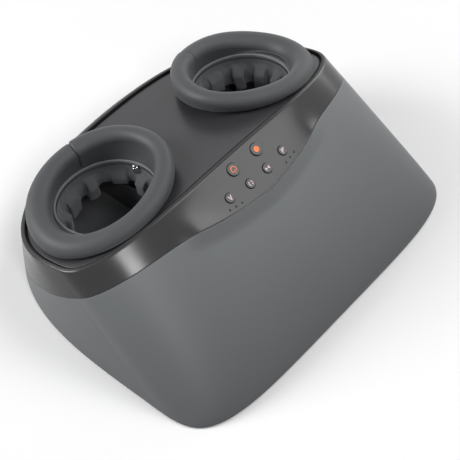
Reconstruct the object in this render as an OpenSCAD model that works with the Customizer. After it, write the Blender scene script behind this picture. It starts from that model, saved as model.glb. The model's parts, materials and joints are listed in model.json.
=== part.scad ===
// Two-foot massager: a wedge-shaped housing with two padded ankle rings on a sloping deck,
// a six-button panel on its brow, and rollers, air bags and their drive inside.
// X is to the right seen from the front slope, Y goes back towards the user, Z is up.

/* [Body] */
// Full width of the housing at the floor
body_w = 450; // [440:1:462]
// Reach of the housing's front foot line from its widest line
base_front = 94.5; // [88:0.5:104]
// Reach of the housing's back foot line from its widest line
base_back = 266.5; // [262:0.5:276]
// Where the widest line of the foot outline lies
base_mid_y = -86; // [-90:0.5:-82]
// Gap that the rubber feet hold between the housing and the floor
floor_gap = 1.5; // [1:0.1:3]
// Wall thickness of the two housing shells
wall = 3; // [2.4:0.1:3.4]
// Angle of the skin below level where it meets the rim
shoulder_angle = 36.5; // [33:0.5:40]

/* [Rim and deck] */
// Full width of the rim round the deck
rim_w = 427; // [420:1:436]
// Reach of the rim to the front of its widest line
rim_front = 65.5; // [62:0.5:70]
// Reach of the rim to the back of its widest line
rim_back = 120.5; // [116:0.5:124]
// Where the widest line of the rim lies
rim_mid_y = 39; // [37:0.5:41]
// Height of the rim surface on the centre line, above its widest line
deck_h = 135; // [131:0.5:140]
// Fall of the deck towards the user, per unit of depth
deck_fall = 0.312; // [0.28:0.002:0.33]
// Drop of the arched rim surface from the centre line to its widest point
deck_arch = 25.5; // [22:0.5:30]
// Width of the lip round the deck
lip_w = 4; // [3:0.5:5]
// Width of the dark groove between the lip and the deck
groove_w = 3; // [2:0.5:3.5]
// Depth of the deck's top below the lip
deck_recess = 2.5; // [1.5:0.5:4]
// Thickness of the deck plate
deck_t = 3; // [2:0.5:4]
// Width of the ledge that carries the deck, from the lip
ledge_w = 6; // [5:0.5:7]

/* [Seam between the two shells, and the brow above it] */
// Height at which the seam would lie on the bare skin, at its crest
seam_top = 130.5; // [127:0.5:133]
// Where the crest of the seam lies
seam_crest_y = -51; // [-54:0.5:-48]
// Fall of the seam towards the back, per unit of depth
seam_fall = 0.804; // [0.77:0.002:0.83]
// Fall of the seam towards the front, per unit of depth
seam_dip = 0.41; // [0.34:0.01:0.46]
// Height at which the seam levels out at the back
seam_low = 28; // [24:0.5:32]
// Open gap at the seam
seam_gap = 0.5; // [0.3:0.1:0.8]
// How far the brow stands out of the bare skin at the seam
brow_out = 6; // [4:0.1:6.5]
// Distance from the centre line up to which the brow is full
brow_full_x = 85; // [75:1:90]
// Distance from the centre line at which the brow has died out
brow_end_x = 125; // [115:1:135]

/* [Ankle rings] */
// Distance of each ring's centre from the centre line
ring_x = 116.5; // [115:0.5:119]
// Where the rings' centres lie along the depth
ring_y = 61.5; // [60:0.5:63]
// Height of the ring plane above the rim surface
ring_lift = 10.1; // [9.5:0.1:12]
// Angle by which each ring leans outwards
ring_out = 13; // [11:0.1:14]
// Angle by which each ring leans back towards the user
ring_back = 9.5; // [8:0.1:12]
// Half width of the padded ring's centre line
ring_rx = 75.5; // [74:0.5:77]
// Half depth of the padded ring's centre line
ring_ry = 65.5; // [64:0.5:67]
// Mean radius of the padded tube
ring_tube = 12.2; // [11.5:0.1:13]
// How much thicker the tube is on the outer side than on average
ring_swell = 2.1; // [0:0.1:3]
// How far the tube rises at front and back, and falls at its sides, from one plane
ring_saddle = 1.5; // [0:0.1:2]
// Place of the butt seam round the ring, from the outer side
ring_seam = 109; // [90:1:140]
// Distance of each collar's centre from the centre line
collar_x = 113.5; // [112:0.5:116]
// Drop of each collar's centre below the ring's centre
collar_drop = 2.3; // [1.5:0.1:4]
// Angle by which each collar leans outwards
collar_out = 3.2; // [1:0.1:6]
// Angle by which each collar leans back
collar_back = 11.1; // [10:0.1:13]
// Level below a collar's centre at which the cushion rests on it
ring_seat = 10; // [9:0.5:11]
// Radius of the hole through each collar
throat_r = 58; // [56:0.5:59]
// Wall thickness of each collar
collar_wall = 3; // [2:0.5:3]
// Outer radius of each collar
collar_r = 68; // [66:0.5:68]
// Depth of each collar's throat below its centre
throat_depth = 50; // [40:1:52]
// Depth of each collar's outer skirt below its centre
skirt_depth = 30; // [24:1:32]

/* [Liner and zip] */
// Height of the hem band of the liner
hem_h = 7; // [5:0.5:9]
// Depth of the hem's top below the collar's centre
hem_top = 12; // [11:0.5:15]
// Thickness of the liner's cloth
cloth_t = 1.2; // [0.8:0.1:1.6]
// Mean inward reach of the gathers
gather_in = 5; // [3.5:0.5:6]
// Half height of the gathered folds
gather_amp = 2.4; // [1:0.1:2.8]
// Number of gathered folds round the cuff
gathers = 13; // [9:1:15]
// Depth of the cuff's lower edge below the collar's centre
cuff_depth = 62; // [52:1:64]
// Height of the zip's coil
zip_h = 2.4; // [1.6:0.1:3]
// Thickness of the zip's coil
zip_t = 1.4; // [1:0.1:2]
// Place of the zip slider round the hem, from the outer side
zip_at = 172; // [120:1:200]
// Length of the zip slider
slider_l = 9; // [7:0.5:11]
// Length of the slider's pull tab
pull_l = 10; // [8:0.5:10]

/* [Panel] */
// Angle of the panel below level
panel_angle = 31; // [29:0.5:33]
// Where the two large buttons lie along the depth
large_y = -37.5; // [-39:0.5:-36]
// Distance of each large button from the centre line
large_x = 19; // [16:0.5:24]
// Diameter of a large button cap
large_d = 14.4; // [12:0.2:16]
// Where the inner small buttons lie along the depth
small_y_in = -57; // [-57.5:0.5:-54]
// Distance of the inner small buttons from the centre line
small_x_in = 14; // [12:0.5:17]
// Where the outer small buttons lie along the depth
small_y_out = -54; // [-55:0.5:-52]
// Distance of the outer small buttons from the centre line
small_x_out = 44; // [40:0.5:46]
// Diameter of a small button cap
small_d = 11.2; // [9:0.2:12.4]
// Height of a cap above the panel
cap_proud = 1.6; // [1.2:0.1:2.4]
// Travel of a button
button_travel = 0.8; // [0.5:0.1:1]
// Gap round a button cap
button_gap = 0.5; // [0.3:0.1:0.8]
// Where the middle indicator of each row of three lies along the depth
light_y = -63.5; // [-64:0.5:-62]
// Distance of that middle indicator from the centre line
light_x = 45.5; // [44:0.5:47]
// Spacing of the indicators
light_pitch = 8.5; // [7:0.1:9]
// Turn of a row of indicators away from straight across
light_turn = 9; // [6:1:12]
// Diameter of an indicator
light_d = 2.2; // [1.6:0.1:2.6]
// Depth of the button board below the panel
board_depth = 14; // [13:0.5:15]

/* [Foot chambers] */
// Distance of each foot chamber's centre from the centre line
chamber_x = 112; // [111:0.5:113]
// Outer width of a foot chamber
chamber_w = 108; // [104:1:109]
// Where the toe end of a chamber lies
toe_y = -118; // [-120:1:-112]
// Where the heel end of a chamber lies
heel_y = 152; // [146:1:154]
// Corner radius of a chamber
chamber_r = 40; // [38:1:46]
// Height of the top of the sole tray's floor
sole_z = 35; // [34.5:0.5:38]
// Height of the sole tray's own low rim
tray_rim = 40; // [38:0.5:41]
// Height of the chamber walls that stand on the tray's rim
tray_top = 58; // [52:1:59]
// Wall of the tray and the vault
tray_wall = 2.5; // [2:0.1:3]
// Height of the vault's roof at the toe
vault_toe_z = 61; // [59.5:0.5:62]
// Height of the vault's roof at its open end
vault_end_z = 103; // [99:0.5:105]
// Where the vault's open end lies
vault_end_y = -13; // [-20:0.5:-12]
// Thickness of the sole liner
sole_t = 4.5; // [3:0.5:6]
// Thickness of a slack air bag
bag_t = 6; // [4:0.5:8]

/* [Rollers and drive] */
// Height of both roller shafts
shaft_z = 21.5; // [21:0.1:22]
// Radius of both roller shafts
shaft_r = 4; // [3:0.1:4.5]
// Where the front shaft lies
front_shaft_y = -45; // [-48:1:-44]
// Where the rear shaft lies
rear_shaft_y = 70; // [66:1:74]
// Radius of a massage wheel over its nodules
wheel_r = 15; // [13.5:0.1:15.2]
// Width of a massage wheel
wheel_w = 14; // [10:0.5:16]
// Spacing of the three wheels under a foot
wheel_pitch = 32; // [29:0.5:34]
// Radius of a nodule
nodule_r = 4; // [3:0.2:4.5]
// Teeth of the gear on the front shaft
gear_teeth = 28; // [28]
// Teeth of the motor's pinion
pinion_teeth = 14; // [14]
// Size of a tooth, as pitch diameter over teeth
tooth_module = 1.25; // [1.1:0.01:1.25]
// Angle of the pinion above the front shaft
pinion_angle = 50; // [46:1:54]
// Width of the gear and the pinion
gear_w = 8; // [6:0.5:9]
// Radius of a belt pulley
pulley_r = 13; // [11:0.5:13.5]
// Thickness of the drive belt
belt_t = 1.8; // [1.2:0.1:2]
// Width of the drive belt
belt_w = 8; // [6:0.5:10]
// Running clearance of the shafts in their bearings
running_gap = 0.05; // [0.03:0.01:0.09]

/* [Rear and underside] */
// Height of the power inlet's centre
inlet_z = 47; // [44:0.5:56]
// Width of the power inlet
inlet_w = 25; // [23:0.5:28]
// Height of the power inlet
inlet_h = 15; // [13:0.5:17]
// Thickness of the base plate
base_t = 3; // [2.5:0.1:3.2]
// Radius of a rubber foot
foot_r = 12; // [9:0.5:14]
// Distance of the feet from the centre line
foot_x = 165; // [150:1:172]

/* [Hidden] */

fine = 48;
touch = 0.3;
base_half = body_w / 2;
rim_half = rim_w / 2;
base_front_n = 4.7;
base_back_n = 3.2;
rim_n = 2.72;
skin_drop = 0.8;
seam_curve = 0.0011;
seam_soft = 6;
floor_soft = 8;
around = 96;
base_top = floor_gap + base_t;
inside_x = chamber_x - chamber_w / 2;
gear_x = -6;
pulley_x = -(inside_x - 24);
motor_gap = 2.3;

// Plan outlines, the rim surface and the skin between them

function power(v, e) = sign(v) * pow(abs(v), e);
function plan(t, half, mid, front, back, front_n, back_n) =
    let (n = sin(t) < 0 ? front_n : back_n)
    [half * power(cos(t), 2 / n), mid + (sin(t) < 0 ? front : back) * power(sin(t), 2 / n)];
function base_plan(t, in = 0) =
    plan(t, base_half - in, base_mid_y, base_front - in, base_back - in, base_front_n, base_back_n);
function rim_plan(t, in = 0) = plan(t, rim_half - in, rim_mid_y, rim_front - in, rim_back - in, rim_n, rim_n);
function rim_z(x, y) = deck_h - deck_fall * (y - rim_mid_y) - deck_arch * pow(x / rim_half, 2);

// A point of the bare skin: u runs from 0 at the floor to 1 at the rim
function bare_skin(t, u, in = 0) =
    let (b = base_plan(t, in), r = rim_plan(t, in), top = rim_z(r.x, r.y) - in * skin_drop)
    let (knee = max(top - norm(r - b) * tan(shoulder_angle), 5))
    let (w0 = (1 - u) * (1 - u), w1 = 2 * u * (1 - u), w2 = u * u)
    [(w0 + w1) * b.x + w2 * r.x, (w0 + w1) * b.y + w2 * r.y, w0 * floor_gap + w1 * knee + w2 * top];

// Angles that crowd towards the ends of both axes, where a squarish outline needs them
function ease(v) = let (c = max(0, min(1, v))) c * c * (3 - 2 * c);
function eased(s) = let (q = floor(s * 4), r = s * 4 - q) 90 * (q + ease(r));
angles = [for (j = [0 : around - 1]) eased(j / around)];

function soft(v, r) = (v + sqrt(v * v + r * r)) / 2;
function seam_line(s) = seam_top - seam_fall * soft(s, seam_soft) + seam_curve * pow(soft(s, seam_soft), 2)
    - seam_dip * soft(-s, seam_soft);
function seam_z(y) = seam_low + soft(seam_line(y - seam_crest_y) - seam_low, floor_soft);

// How far up the skin the seam lies, moved by shift, and how far up a depth below the rim lies
function seam_u(t, shift = 0, lo = 0, hi = 1, n = 18) =
    let (m = (lo + hi) / 2, p = bare_skin(t, m))
    n == 0 ? m : p.z < seam_z(p.y) + shift ? seam_u(t, shift, m, hi, n - 1) : seam_u(t, shift, lo, m, n - 1);
function below_rim_u(t, depth, lo = 0, hi = 1, n = 18) =
    let (m = (lo + hi) / 2, p = bare_skin(t, m, wall), r = rim_plan(t))
    n == 0 ? m : p.z < rim_z(r.x, r.y) - depth
        ? below_rim_u(t, depth, m, hi, n - 1) : below_rim_u(t, depth, lo, m, n - 1);

// The skin with its brow, which grows from the rim to the seam and ends in a crease below it
function crease_of(seam) = seam - min(0.042, seam / 3);
function brow_at(u, seam) = u > seam ? pow((1 - u) / (1 - seam), 2)
    : max(0, (u - crease_of(seam)) / (seam - crease_of(seam)));
function brow(t, u, seam, x) = sin(t) > 0 ? 0
    : brow_out * brow_at(u, seam) * (1 - ease((abs(x) - brow_full_x) / (brow_end_x - brow_full_x)));
function skin(t, u, seam, in = 0) =
    let (p = bare_skin(t, u, in))
    p + brow(t, u, seam, p.x) * [0, -sin(shoulder_angle), cos(shoulder_angle)];

// The point of the skin's front half over a place in plan
function u_at(t, seam, y, lo = 0, hi = 1, n = 16) =
    let (m = (lo + hi) / 2)
    n == 0 ? m : skin(t, m, seam).y < y ? u_at(t, seam, y, m, hi, n - 1) : u_at(t, seam, y, lo, m, n - 1);
function skin_at(x, y, lo = 180, hi = 360, n = 16) =
    let (t = (lo + hi) / 2, seam = seam_u(t), p = skin(t, u_at(t, seam, y), seam))
    n == 0 ? [x, p.y, p.z] : p.x < x ? skin_at(x, y, t, hi, n - 1) : skin_at(x, y, lo, t, n - 1);

// Solids from rows of points

function quads(rows, cols, wrap_rows, wrap_cols) = [
    for (j = [0 : rows - (wrap_rows ? 1 : 2)], i = [0 : cols - (wrap_cols ? 1 : 2)])
    let (a = j * cols + i, b = j * cols + (i + 1) % cols)
    let (c = ((j + 1) % rows) * cols + (i + 1) % cols, d = ((j + 1) % rows) * cols + i)
    each [[a, b, c], [a, c, d]]];

// A closed ring of closed sections
module ring_loft(sections) {
    polyhedron([for (s = sections) each s], quads(len(sections), len(sections[0]), true, true), 10);
}

// A closed ring of open sections whose ends meet at one point above and one below
module disc_loft(sections, below, above) {
    n = len(sections);
    m = len(sections[0]);
    polyhedron(concat([for (s = sections) each s], [below, above]),
        concat(quads(n, m, true, false),
            [for (j = [0 : n - 1]) [n * m, j * m, ((j + 1) % n) * m]],
            [for (j = [0 : n - 1]) [n * m + 1, ((j + 1) % n) * m + m - 1, j * m + m - 1]]), 10);
}

// A round tube swept along a route, with flat ends
function unit(v) = v / norm(v);
function tangent(p, i) = unit(p[min(i + 1, len(p) - 1)] - p[max(i - 1, 0)]);
function side_of(t) = unit(abs(t.z) < 0.9 ? cross(t, [0, 0, 1]) : cross(t, [0, 1, 0]));
module swept(route, r, sides = 8) {
    n = len(route);
    rings = [for (i = [0 : n - 1]) let (t = tangent(route, i), a = side_of(t), b = cross(t, a))
        [for (k = [0 : sides - 1]) route[i] + r * (a * cos(360 * k / sides) + b * sin(360 * k / sides))]];
    polyhedron([for (s = rings) each s], concat(quads(n, sides, false, true),
        [[for (k = [sides - 1 : -1 : 0]) k], [for (k = [0 : sides - 1]) (n - 1) * sides + k]]), 10);
}

// A rounded path through chosen points, straight over its first and last steps
function straight_ends(p) = let (n = len(p) - 1) concat([p[0], (p[0] + p[1]) / 2],
    [for (k = [1 : n - 1]) p[k]], [(p[n - 1] + p[n]) / 2, p[n]]);
function blend(p, i, s) =
    let (a = p[max(i - 1, 0)], b = p[i], c = p[i + 1], d = p[min(i + 2, len(p) - 1)])
    0.5 * (2 * b + (c - a) * s + (2 * a - 5 * b + 4 * c - d) * s * s + (3 * b - a - 3 * c + d) * s * s * s);
function rounded(points, steps = 3) = let (p = straight_ends(points)) concat(
    [for (i = [0 : len(p) - 2], k = [0 : steps - 1]) blend(p, i, k / steps)], [p[len(p) - 1]]);

module both_sides() {
    children();
    mirror([1, 0, 0]) children();
}

// Housing

// The inner side of the lower wall at the height of the base plate's top, with the touch gap
function base_edge(t) =
    let (seam = seam_u(t), a = skin(t, 0, seam, wall + touch))
    let (b = skin(t, crease_of(seam) / inner_steps, seam, wall + touch), s = (base_top - a.z) / (b.z - a.z))
    [a.x + (b.x - a.x) * s, a.y + (b.y - a.y) * s];

// The space inside the middle of the walls, which trims what grows out of them
module core() {
    disc_loft([for (t = angles) let (seam = seam_u(t), c = crease_of(seam)) concat(
        [for (k = [0 : 4]) skin(t, c * k / 4, seam, wall / 2)],
        [for (k = [0 : 3]) skin(t, seam + (1 - seam) * k / 3, seam, wall / 2)])],
        [0, 0, floor_gap], [0, rim_mid_y, deck_h - deck_recess]);
}

screw_r = 1.7;
boss_r = 5;
boss_foot = base_top + touch;
boss_bore = 22;
front_boss = [120, base_mid_y - base_front + 38];
side_boss = [rim_half - 22.5, rim_mid_y + 59];
rear_boss = [45, base_mid_y + base_back - 15.5];
rib_w = 3;
rib_foot = seam_low + 14;
module boss(at) {
    translate([at.x, at.y, boss_foot]) cylinder(r = boss_r, h = 20, $fn = fine);
}
module boss_hole(at) {
    translate([at.x, at.y, boss_foot - 1]) cylinder(r = screw_r + 0.02, h = boss_bore, $fn = fine);
}

lower_steps = 7;
inner_steps = 4;
module lower_housing() {
    color([0.42, 0.43, 0.44])
    difference() {
        union() {
            ring_loft([for (t = angles)
                let (seam = seam_u(t), c = crease_of(seam), e = seam_u(t, -seam_gap / 2)) concat(
                [for (k = [0 : lower_steps]) skin(t, c * k / lower_steps, seam)], [skin(t, e, seam)],
                [skin(t, e, seam, wall)],
                [for (k = [inner_steps : -1 : 0]) skin(t, c * k / inner_steps, seam, wall)])]);
            intersection() {
                both_sides() translate([front_boss.x, front_boss.y, boss_foot])
                    cylinder(r = boss_r, h = 70, $fn = fine);
                core();
            }
        }
        both_sides() boss_hole(front_boss);
    }
}

band_steps = 6;
ledge_drop = deck_recess + deck_t + touch;
ledge_t = 2.5;
ledge_root = 4;
function on_rim(t, in, down) = let (r = rim_plan(t, in)) [r.x, r.y, rim_z(r.x, r.y) - down];
module cover_shell() {
    ring_loft([for (t = angles)
        let (seam = seam_u(t), e = seam_u(t, seam_gap / 2), r = below_rim_u(t, ledge_drop + ledge_root)) concat(
        [for (k = [0 : band_steps]) skin(t, e + (1 - e) * k / band_steps, seam)],
        [on_rim(t, lip_w, 0), on_rim(t, lip_w, ledge_drop), on_rim(t, lip_w + ledge_w, ledge_drop),
            on_rim(t, lip_w + ledge_w, ledge_drop + ledge_t)],
        [for (k = [2 : -1 : 0]) skin(t, e + (r - e) * k / 2, seam, wall)])]);
}

side_boss_top = 84;
rear_boss_top = 78;
module cover_bosses() {
    intersection() {
        both_sides() {
            translate([side_boss.x, side_boss.y, boss_foot])
                cylinder(r = boss_r, h = side_boss_top - boss_foot, $fn = fine);
            translate([side_boss.x, side_boss.y - rib_w / 2, rib_foot])
                cube([20, rib_w, side_boss_top - rib_foot]);
            translate([rear_boss.x, rear_boss.y, boss_foot])
                cylinder(r = boss_r, h = rear_boss_top - boss_foot, $fn = fine);
            translate([rear_boss.x - rib_w / 2, rear_boss.y, rib_foot])
                cube([rib_w, 20, rear_boss_top - rib_foot]);
        }
        core();
    }
}

// Puts a piece on the panel over a place in plan, with its own Z square to the panel
module on_panel(x, y, depth = 0) {
    translate(skin_at(x, y)) rotate([panel_angle, 0, 0]) translate([0, 0, -depth]) children();
}

board_y = -49;
board_w = 104;
board_l = 40;
board_t = 1.6;
post_places = [[-30, -60], [30, -60], [-38, -38], [38, -38]];
function light_x_of(k) = light_x + k * light_pitch * cos(light_turn);
function light_y_of(k) = light_y + k * light_pitch * sin(light_turn);
light_places = [for (side = [-1, 1], k = [-1 : 1]) [side * light_x_of(k), light_y_of(k)]];
button_places = [[-large_x, large_y], [large_x, large_y], [-small_x_out, small_y_out],
    [-small_x_in, small_y_in], [small_x_in, small_y_in], [small_x_out, small_y_out]];
function button_d(k) = k < 2 ? large_d : small_d;

// The board lies in one plane, so what stands on it has its own height under each place of the panel
function panel_depth(p) =
    let (d = skin_at(p.x, p.y) - skin_at(0, board_y)) board_depth + d.z * cos(panel_angle) - d.y * sin(panel_angle);
function panel_across(p) =
    let (d = skin_at(p.x, p.y) - skin_at(0, board_y)) d.y * cos(panel_angle) + d.z * sin(panel_angle);
module over_board(p, up = 0) {
    on_panel(0, board_y, board_depth) translate([p.x, panel_across(p), up]) children();
}
module cover_posts() {
    for (p = post_places) over_board(p, touch) cylinder(r = 2.2, h = panel_depth(p) - 1.5, $fn = fine);
}

panel_cut = 11;
flange_out = 1.2;
module panel_holes() {
    for (k = [0 : 5]) on_panel(button_places[k].x, button_places[k].y, panel_cut) {
        cylinder(d = button_d(k) + 2 * button_gap, h = 2 * panel_cut, $fn = fine);
        cylinder(d = button_d(k) + 2 * (flange_out + touch), h = panel_cut - flange_top + touch, $fn = fine);
    }
    for (p = light_places) on_panel(p.x, p.y, panel_cut)
        cylinder(d = light_d + 0.3, h = 2 * panel_cut, $fn = fine);
}

inlet_y = bare_skin(90, 0.35).y;
inlet_depth = 22;
inlet_lip = 1.5;
module upper_cover() {
    color([0.33, 0.33, 0.33])
    difference() {
        union() {
            cover_shell();
            cover_bosses();
            cover_posts();
        }
        panel_holes();
        both_sides() for (b = [side_boss, rear_boss]) boss_hole(b);
        translate([-inlet_w / 2 - touch, inlet_y - 10, inlet_z - inlet_h / 2 - touch])
            cube([inlet_w + 2 * touch, 20, inlet_h + 2 * touch]);
        seat = [inlet_w / 2 + inlet_lip + touch, inlet_h / 2 + inlet_lip + touch];
        translate([-seat.x, inlet_y + 0.1, inlet_z - seat.y]) cube([2 * seat.x, 20, 2 * seat.y]);
    }
}

deck_in = lip_w + groove_w;
deck_rings = 4;
deck_round = 0.8;
module deck_plate() {
    color([0.28, 0.28, 0.3])
    difference() {
        disc_loft([for (t = angles) concat(
            [for (k = [1 : deck_rings]) deck_pt(t, k / deck_rings, deck_recess + deck_t)],
            [let (p = on_rim(t, deck_in, deck_recess + deck_round)) p],
            [for (k = [deck_rings : -1 : 1])
                deck_pt(t, k == deck_rings ? 1 - deck_round / rim_front : k / deck_rings, deck_recess)])],
            [0, rim_mid_y, deck_h - deck_recess - deck_t], [0, rim_mid_y, deck_h - deck_recess]);
        both_sides() in_frame(collar_frame) translate([0, 0, -60])
            cylinder(r = collar_r + 0.6, h = 120, $fn = 96);
    }
}
function deck_pt(t, s, down) =
    let (r = rim_plan(t, deck_in), x = r.x * s, y = rim_mid_y + (r.y - rim_mid_y) * s)
    [x, y, rim_z(x, y) - down];

bosses = [front_boss, side_boss, rear_boss];
vent_n = 7;
vent_l = 60;
vent_w = 3.5;
vent_pitch = 9;
tray_posts = [[-40, -70], [40, -70], [-46, 20], [46, 20], [-30, 130], [30, 130]];
board_posts = [[-44, -128], [44, -128], [-44, -82], [44, -82]];
module base_plate() {
    color([0.12, 0.12, 0.13])
    difference() {
        union() {
            translate([0, 0, floor_gap]) linear_extrude(base_t)
                polygon([for (t = angles) base_edge(t)]);
            both_sides() for (p = tray_posts) translate([chamber_x + p.x, p.y, base_top - 0.5])
                cylinder(r = 5, h = sole_z - tray_wall - touch - base_top + 0.5, $fn = fine);
            for (p = board_posts) translate([p.x, p.y, base_top - 0.5])
                cylinder(r = 3.5, h = pcb_z - touch - base_top + 0.5, $fn = fine);
        }
        both_sides() for (b = bosses) translate([b.x, b.y, floor_gap - 1]) {
            cylinder(r = screw_r + 0.3, h = base_t + 2, $fn = fine);
            cylinder(r = 3.8, h = 2.4, $fn = fine);
        }
        for (k = [0 : vent_n - 1])
            translate([-vent_l / 2, 5 + k * vent_pitch, floor_gap - 1]) cube([vent_l, vent_w, base_t + 2]);
        translate([gear_x - gear_w / 2 - 1, front_shaft_y, shaft_z]) rotate([0, 90, 0])
            cylinder(r = gear_r + tooth_tip + 0.5, h = gear_w + 2, $fn = 96);
    }
}

module base_screws() {
    color([0.7, 0.7, 0.72])
    both_sides() for (b = bosses) translate([b.x, b.y, floor_gap + 0.2])
        difference() {
            union() {
                cylinder(r = 3.4, h = 1.1, $fn = fine);
                cylinder(r = screw_r, h = 18, $fn = fine);
            }
            for (a = [0, 90]) rotate(a) translate([-2, -0.4, -1]) cube([4, 0.8, 1.7]);
        }
}

foot_front_y = -138;
foot_rear_y = 118;
module rubber_feet() {
    color([0.08, 0.08, 0.08])
    for (y = [foot_front_y, foot_rear_y]) both_sides()
        translate([y < 0 ? foot_x : foot_x - 30, y, 0]) {
            cylinder(r1 = foot_r - 0.6, r2 = foot_r, h = 0.6, $fn = fine);
            translate([0, 0, 0.6]) cylinder(r = foot_r, h = floor_gap - 0.6, $fn = fine);
        }
}

// Ankle rings

// A leaning frame: first leant outwards, then back towards the user
ring_frame = [[ring_x, ring_y, rim_z(ring_x, ring_y) + ring_lift], ring_out, ring_back];
collar_frame = [[collar_x, ring_y, ring_frame[0].z - collar_drop], collar_out, collar_back];
module in_frame(frame) {
    translate(frame[0]) rotate([-frame[2], 0, 0]) rotate([0, frame[1], 0]) children();
}
function frame_pt(frame, u, v, w) =
    let (x = u * cos(frame[1]) + w * sin(frame[1]), z = w * cos(frame[1]) - u * sin(frame[1]), back = frame[2])
    frame[0] + [x, v * cos(back) + z * sin(back), z * cos(back) - v * sin(back)];

module ring_collar() {
    color([0.1, 0.1, 0.11])
    in_frame(collar_frame) rotate_extrude($fn = 96) {
        translate([throat_r, -throat_depth]) square([collar_wall, throat_depth - ring_seat - touch]);
        translate([throat_r, -ring_seat - touch - collar_wall]) square([collar_r - throat_r, collar_wall]);
        translate([collar_r - collar_wall, -skirt_depth])
            square([collar_wall, skirt_depth - ring_seat - touch]);
    }
}

seam_pinch = 0.82;
ring_stops = concat([0, 2.2], [for (a = [8 : 8 : 352]) a], [357.8]);
bed_margin = 8;
function in_rim(x, y, in) = pow(abs(x) / (rim_half - in), rim_n)
    + pow(abs(y - rim_mid_y) / ((y < rim_mid_y ? rim_front : rim_back) - in), rim_n) < 1;

// The height of what a cushion lies on: the deck, or the lip near the deck's edge
function bed_z(x, y) = rim_z(x, y) + touch + 0.2 - (in_rim(x, y, deck_in + bed_margin) ? deck_recess : 0);
function lowered(q) = [q.x, q.y, bed_z(q.x, q.y)];
function raised(q) = [q.x, q.y, max(q.z, bed_z(q.x, q.y))];

// One section of the cushion: a round top, a funnel down to the collar and a skirt down to the deck
function tube_pt(a, out, w) =
    frame_pt(ring_frame, (ring_rx + out) * cos(a), (ring_ry + out) * sin(a), w - ring_saddle * cos(2 * a));
function round_pt(a, p, r) = tube_pt(a, r * cos(p), r * sin(p));
function seat_pt(a, r, w = -ring_seat) = frame_pt(collar_frame, r * cos(a), r * sin(a), w);
function bed_w(a, r, w = -ring_seat, n = 4) =
    let (q = seat_pt(a, r, w)) n == 0 ? w : bed_w(a, r, w + bed_z(q.x, q.y) - q.z, n - 1);
function cushion_section(a, r) = let (low = seat_pt(a, throat_r + 0.6)) concat(
    [low, (low + round_pt(a, 180, r)) / 2],
    [for (p = [180 : -30 : -30]) raised(round_pt(a, p, r))],
    [lowered(tube_pt(a, r * (0.6 + 0.45 * pow(sin(a), 2)), 0)), seat_pt(a, collar_r + 1.2, bed_w(a, collar_r + 1.2)),
        seat_pt(a, collar_r + 0.4, max(-ring_seat, bed_w(a, collar_r + 0.4)))]);
module ring_cushion() {
    color([0.36, 0.37, 0.39])
    ring_loft([for (k = ring_stops) let (a = ring_seam + k)
        cushion_section(a, (ring_tube + ring_swell * cos(a)) * (k == 0 ? seam_pinch : 1))]);
}

// Liner, its gathers and the zip round its hem

hem_r = throat_r - 0.4;
cuff_sides = 78;
cuff_levels = [0, hem_h, hem_h + 5, hem_h + 14, hem_h + 26, hem_h + 34, cuff_depth - hem_top];
cuff_taper = 6;
cuff_shift = 2;
function gather_r(a, d) = hem_r - cloth_t - cuff_taper * ease((d - 26) / 15)
    - ease((d - hem_h - 3) / 14) * (gather_in + gather_amp * (cos(gathers * a) + 0.35 * cos((gathers + 5) * a)));
function cuff_pt(a, d, r) =
    frame_pt(collar_frame, r * cos(a) + cuff_shift * ease((d - 26) / 15), r * sin(a), -hem_top - d);
module liner_cuff() {
    color([0.26, 0.27, 0.28])
    ring_loft([for (j = [0 : cuff_sides - 1]) let (a = 360 * j / cuff_sides) concat(
        [for (d = cuff_levels) cuff_pt(a, d, gather_r(a, d) + cloth_t)],
        [for (k = [len(cuff_levels) - 1 : -1 : 0]) cuff_pt(a, cuff_levels[k], gather_r(a, cuff_levels[k]))])]);
}

zip_r = hem_r - cloth_t - 0.3;
zip_w = hem_top + hem_h / 2;
module zip_track() {
    color([0.1, 0.1, 0.11])
    in_frame(collar_frame) rotate_extrude($fn = 96) translate([zip_r - zip_t, -zip_w - zip_h / 2]) square([zip_t, zip_h]);
}

slider_t = 1;
slider_gap = 0.3;
module zip_slider() {
    color([0.75, 0.75, 0.76])
    in_frame(collar_frame) rotate(zip_at) translate([zip_r - zip_t - slider_gap, 0, -zip_w]) {
        translate([-slider_t, -slider_l / 2, -zip_h / 2 - 1.2]) cube([slider_t, slider_l, zip_h + 2.4]);
        translate([-slider_t - 1.8, -1.6, zip_h / 2 - 0.2]) cube([1.8, 0.8, 1.4]);
        translate([-slider_t - 1.8, 0.8, zip_h / 2 - 0.2]) cube([1.8, 0.8, 1.4]);
        translate([-slider_t - 1.1, -1.6, zip_h / 2 + 0.5]) rotate([-90, 0, 0])
            cylinder(r = 0.4, h = 3.2, $fn = 24);
    }
}

pull_pin = [zip_r - zip_t - slider_gap - slider_t - 1.1, 0, -zip_w + zip_h / 2 + 0.5];
module zip_pull() {
    color([0.75, 0.75, 0.76])
    in_frame(collar_frame) rotate(zip_at) translate(pull_pin) difference() {
        union() {
            rotate([-90, 0, 0]) translate([0, 0, -0.7]) cylinder(r = 0.95, h = 1.4, $fn = 24);
            translate([-0.6, -0.7, -4]) cube([0.8, 1.4, 4]);
            translate([-0.6, -2, -pull_l]) cube([0.8, 4, pull_l - 3.5]);
        }
        rotate([-90, 0, 0]) translate([0, 0, -2]) cylinder(r = 0.45, h = 4, $fn = 24);
        translate([-2, -1, -pull_l + 1.2]) cube([4, 2, pull_l - 6.5]);
    }
}

// Foot chambers

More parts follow.
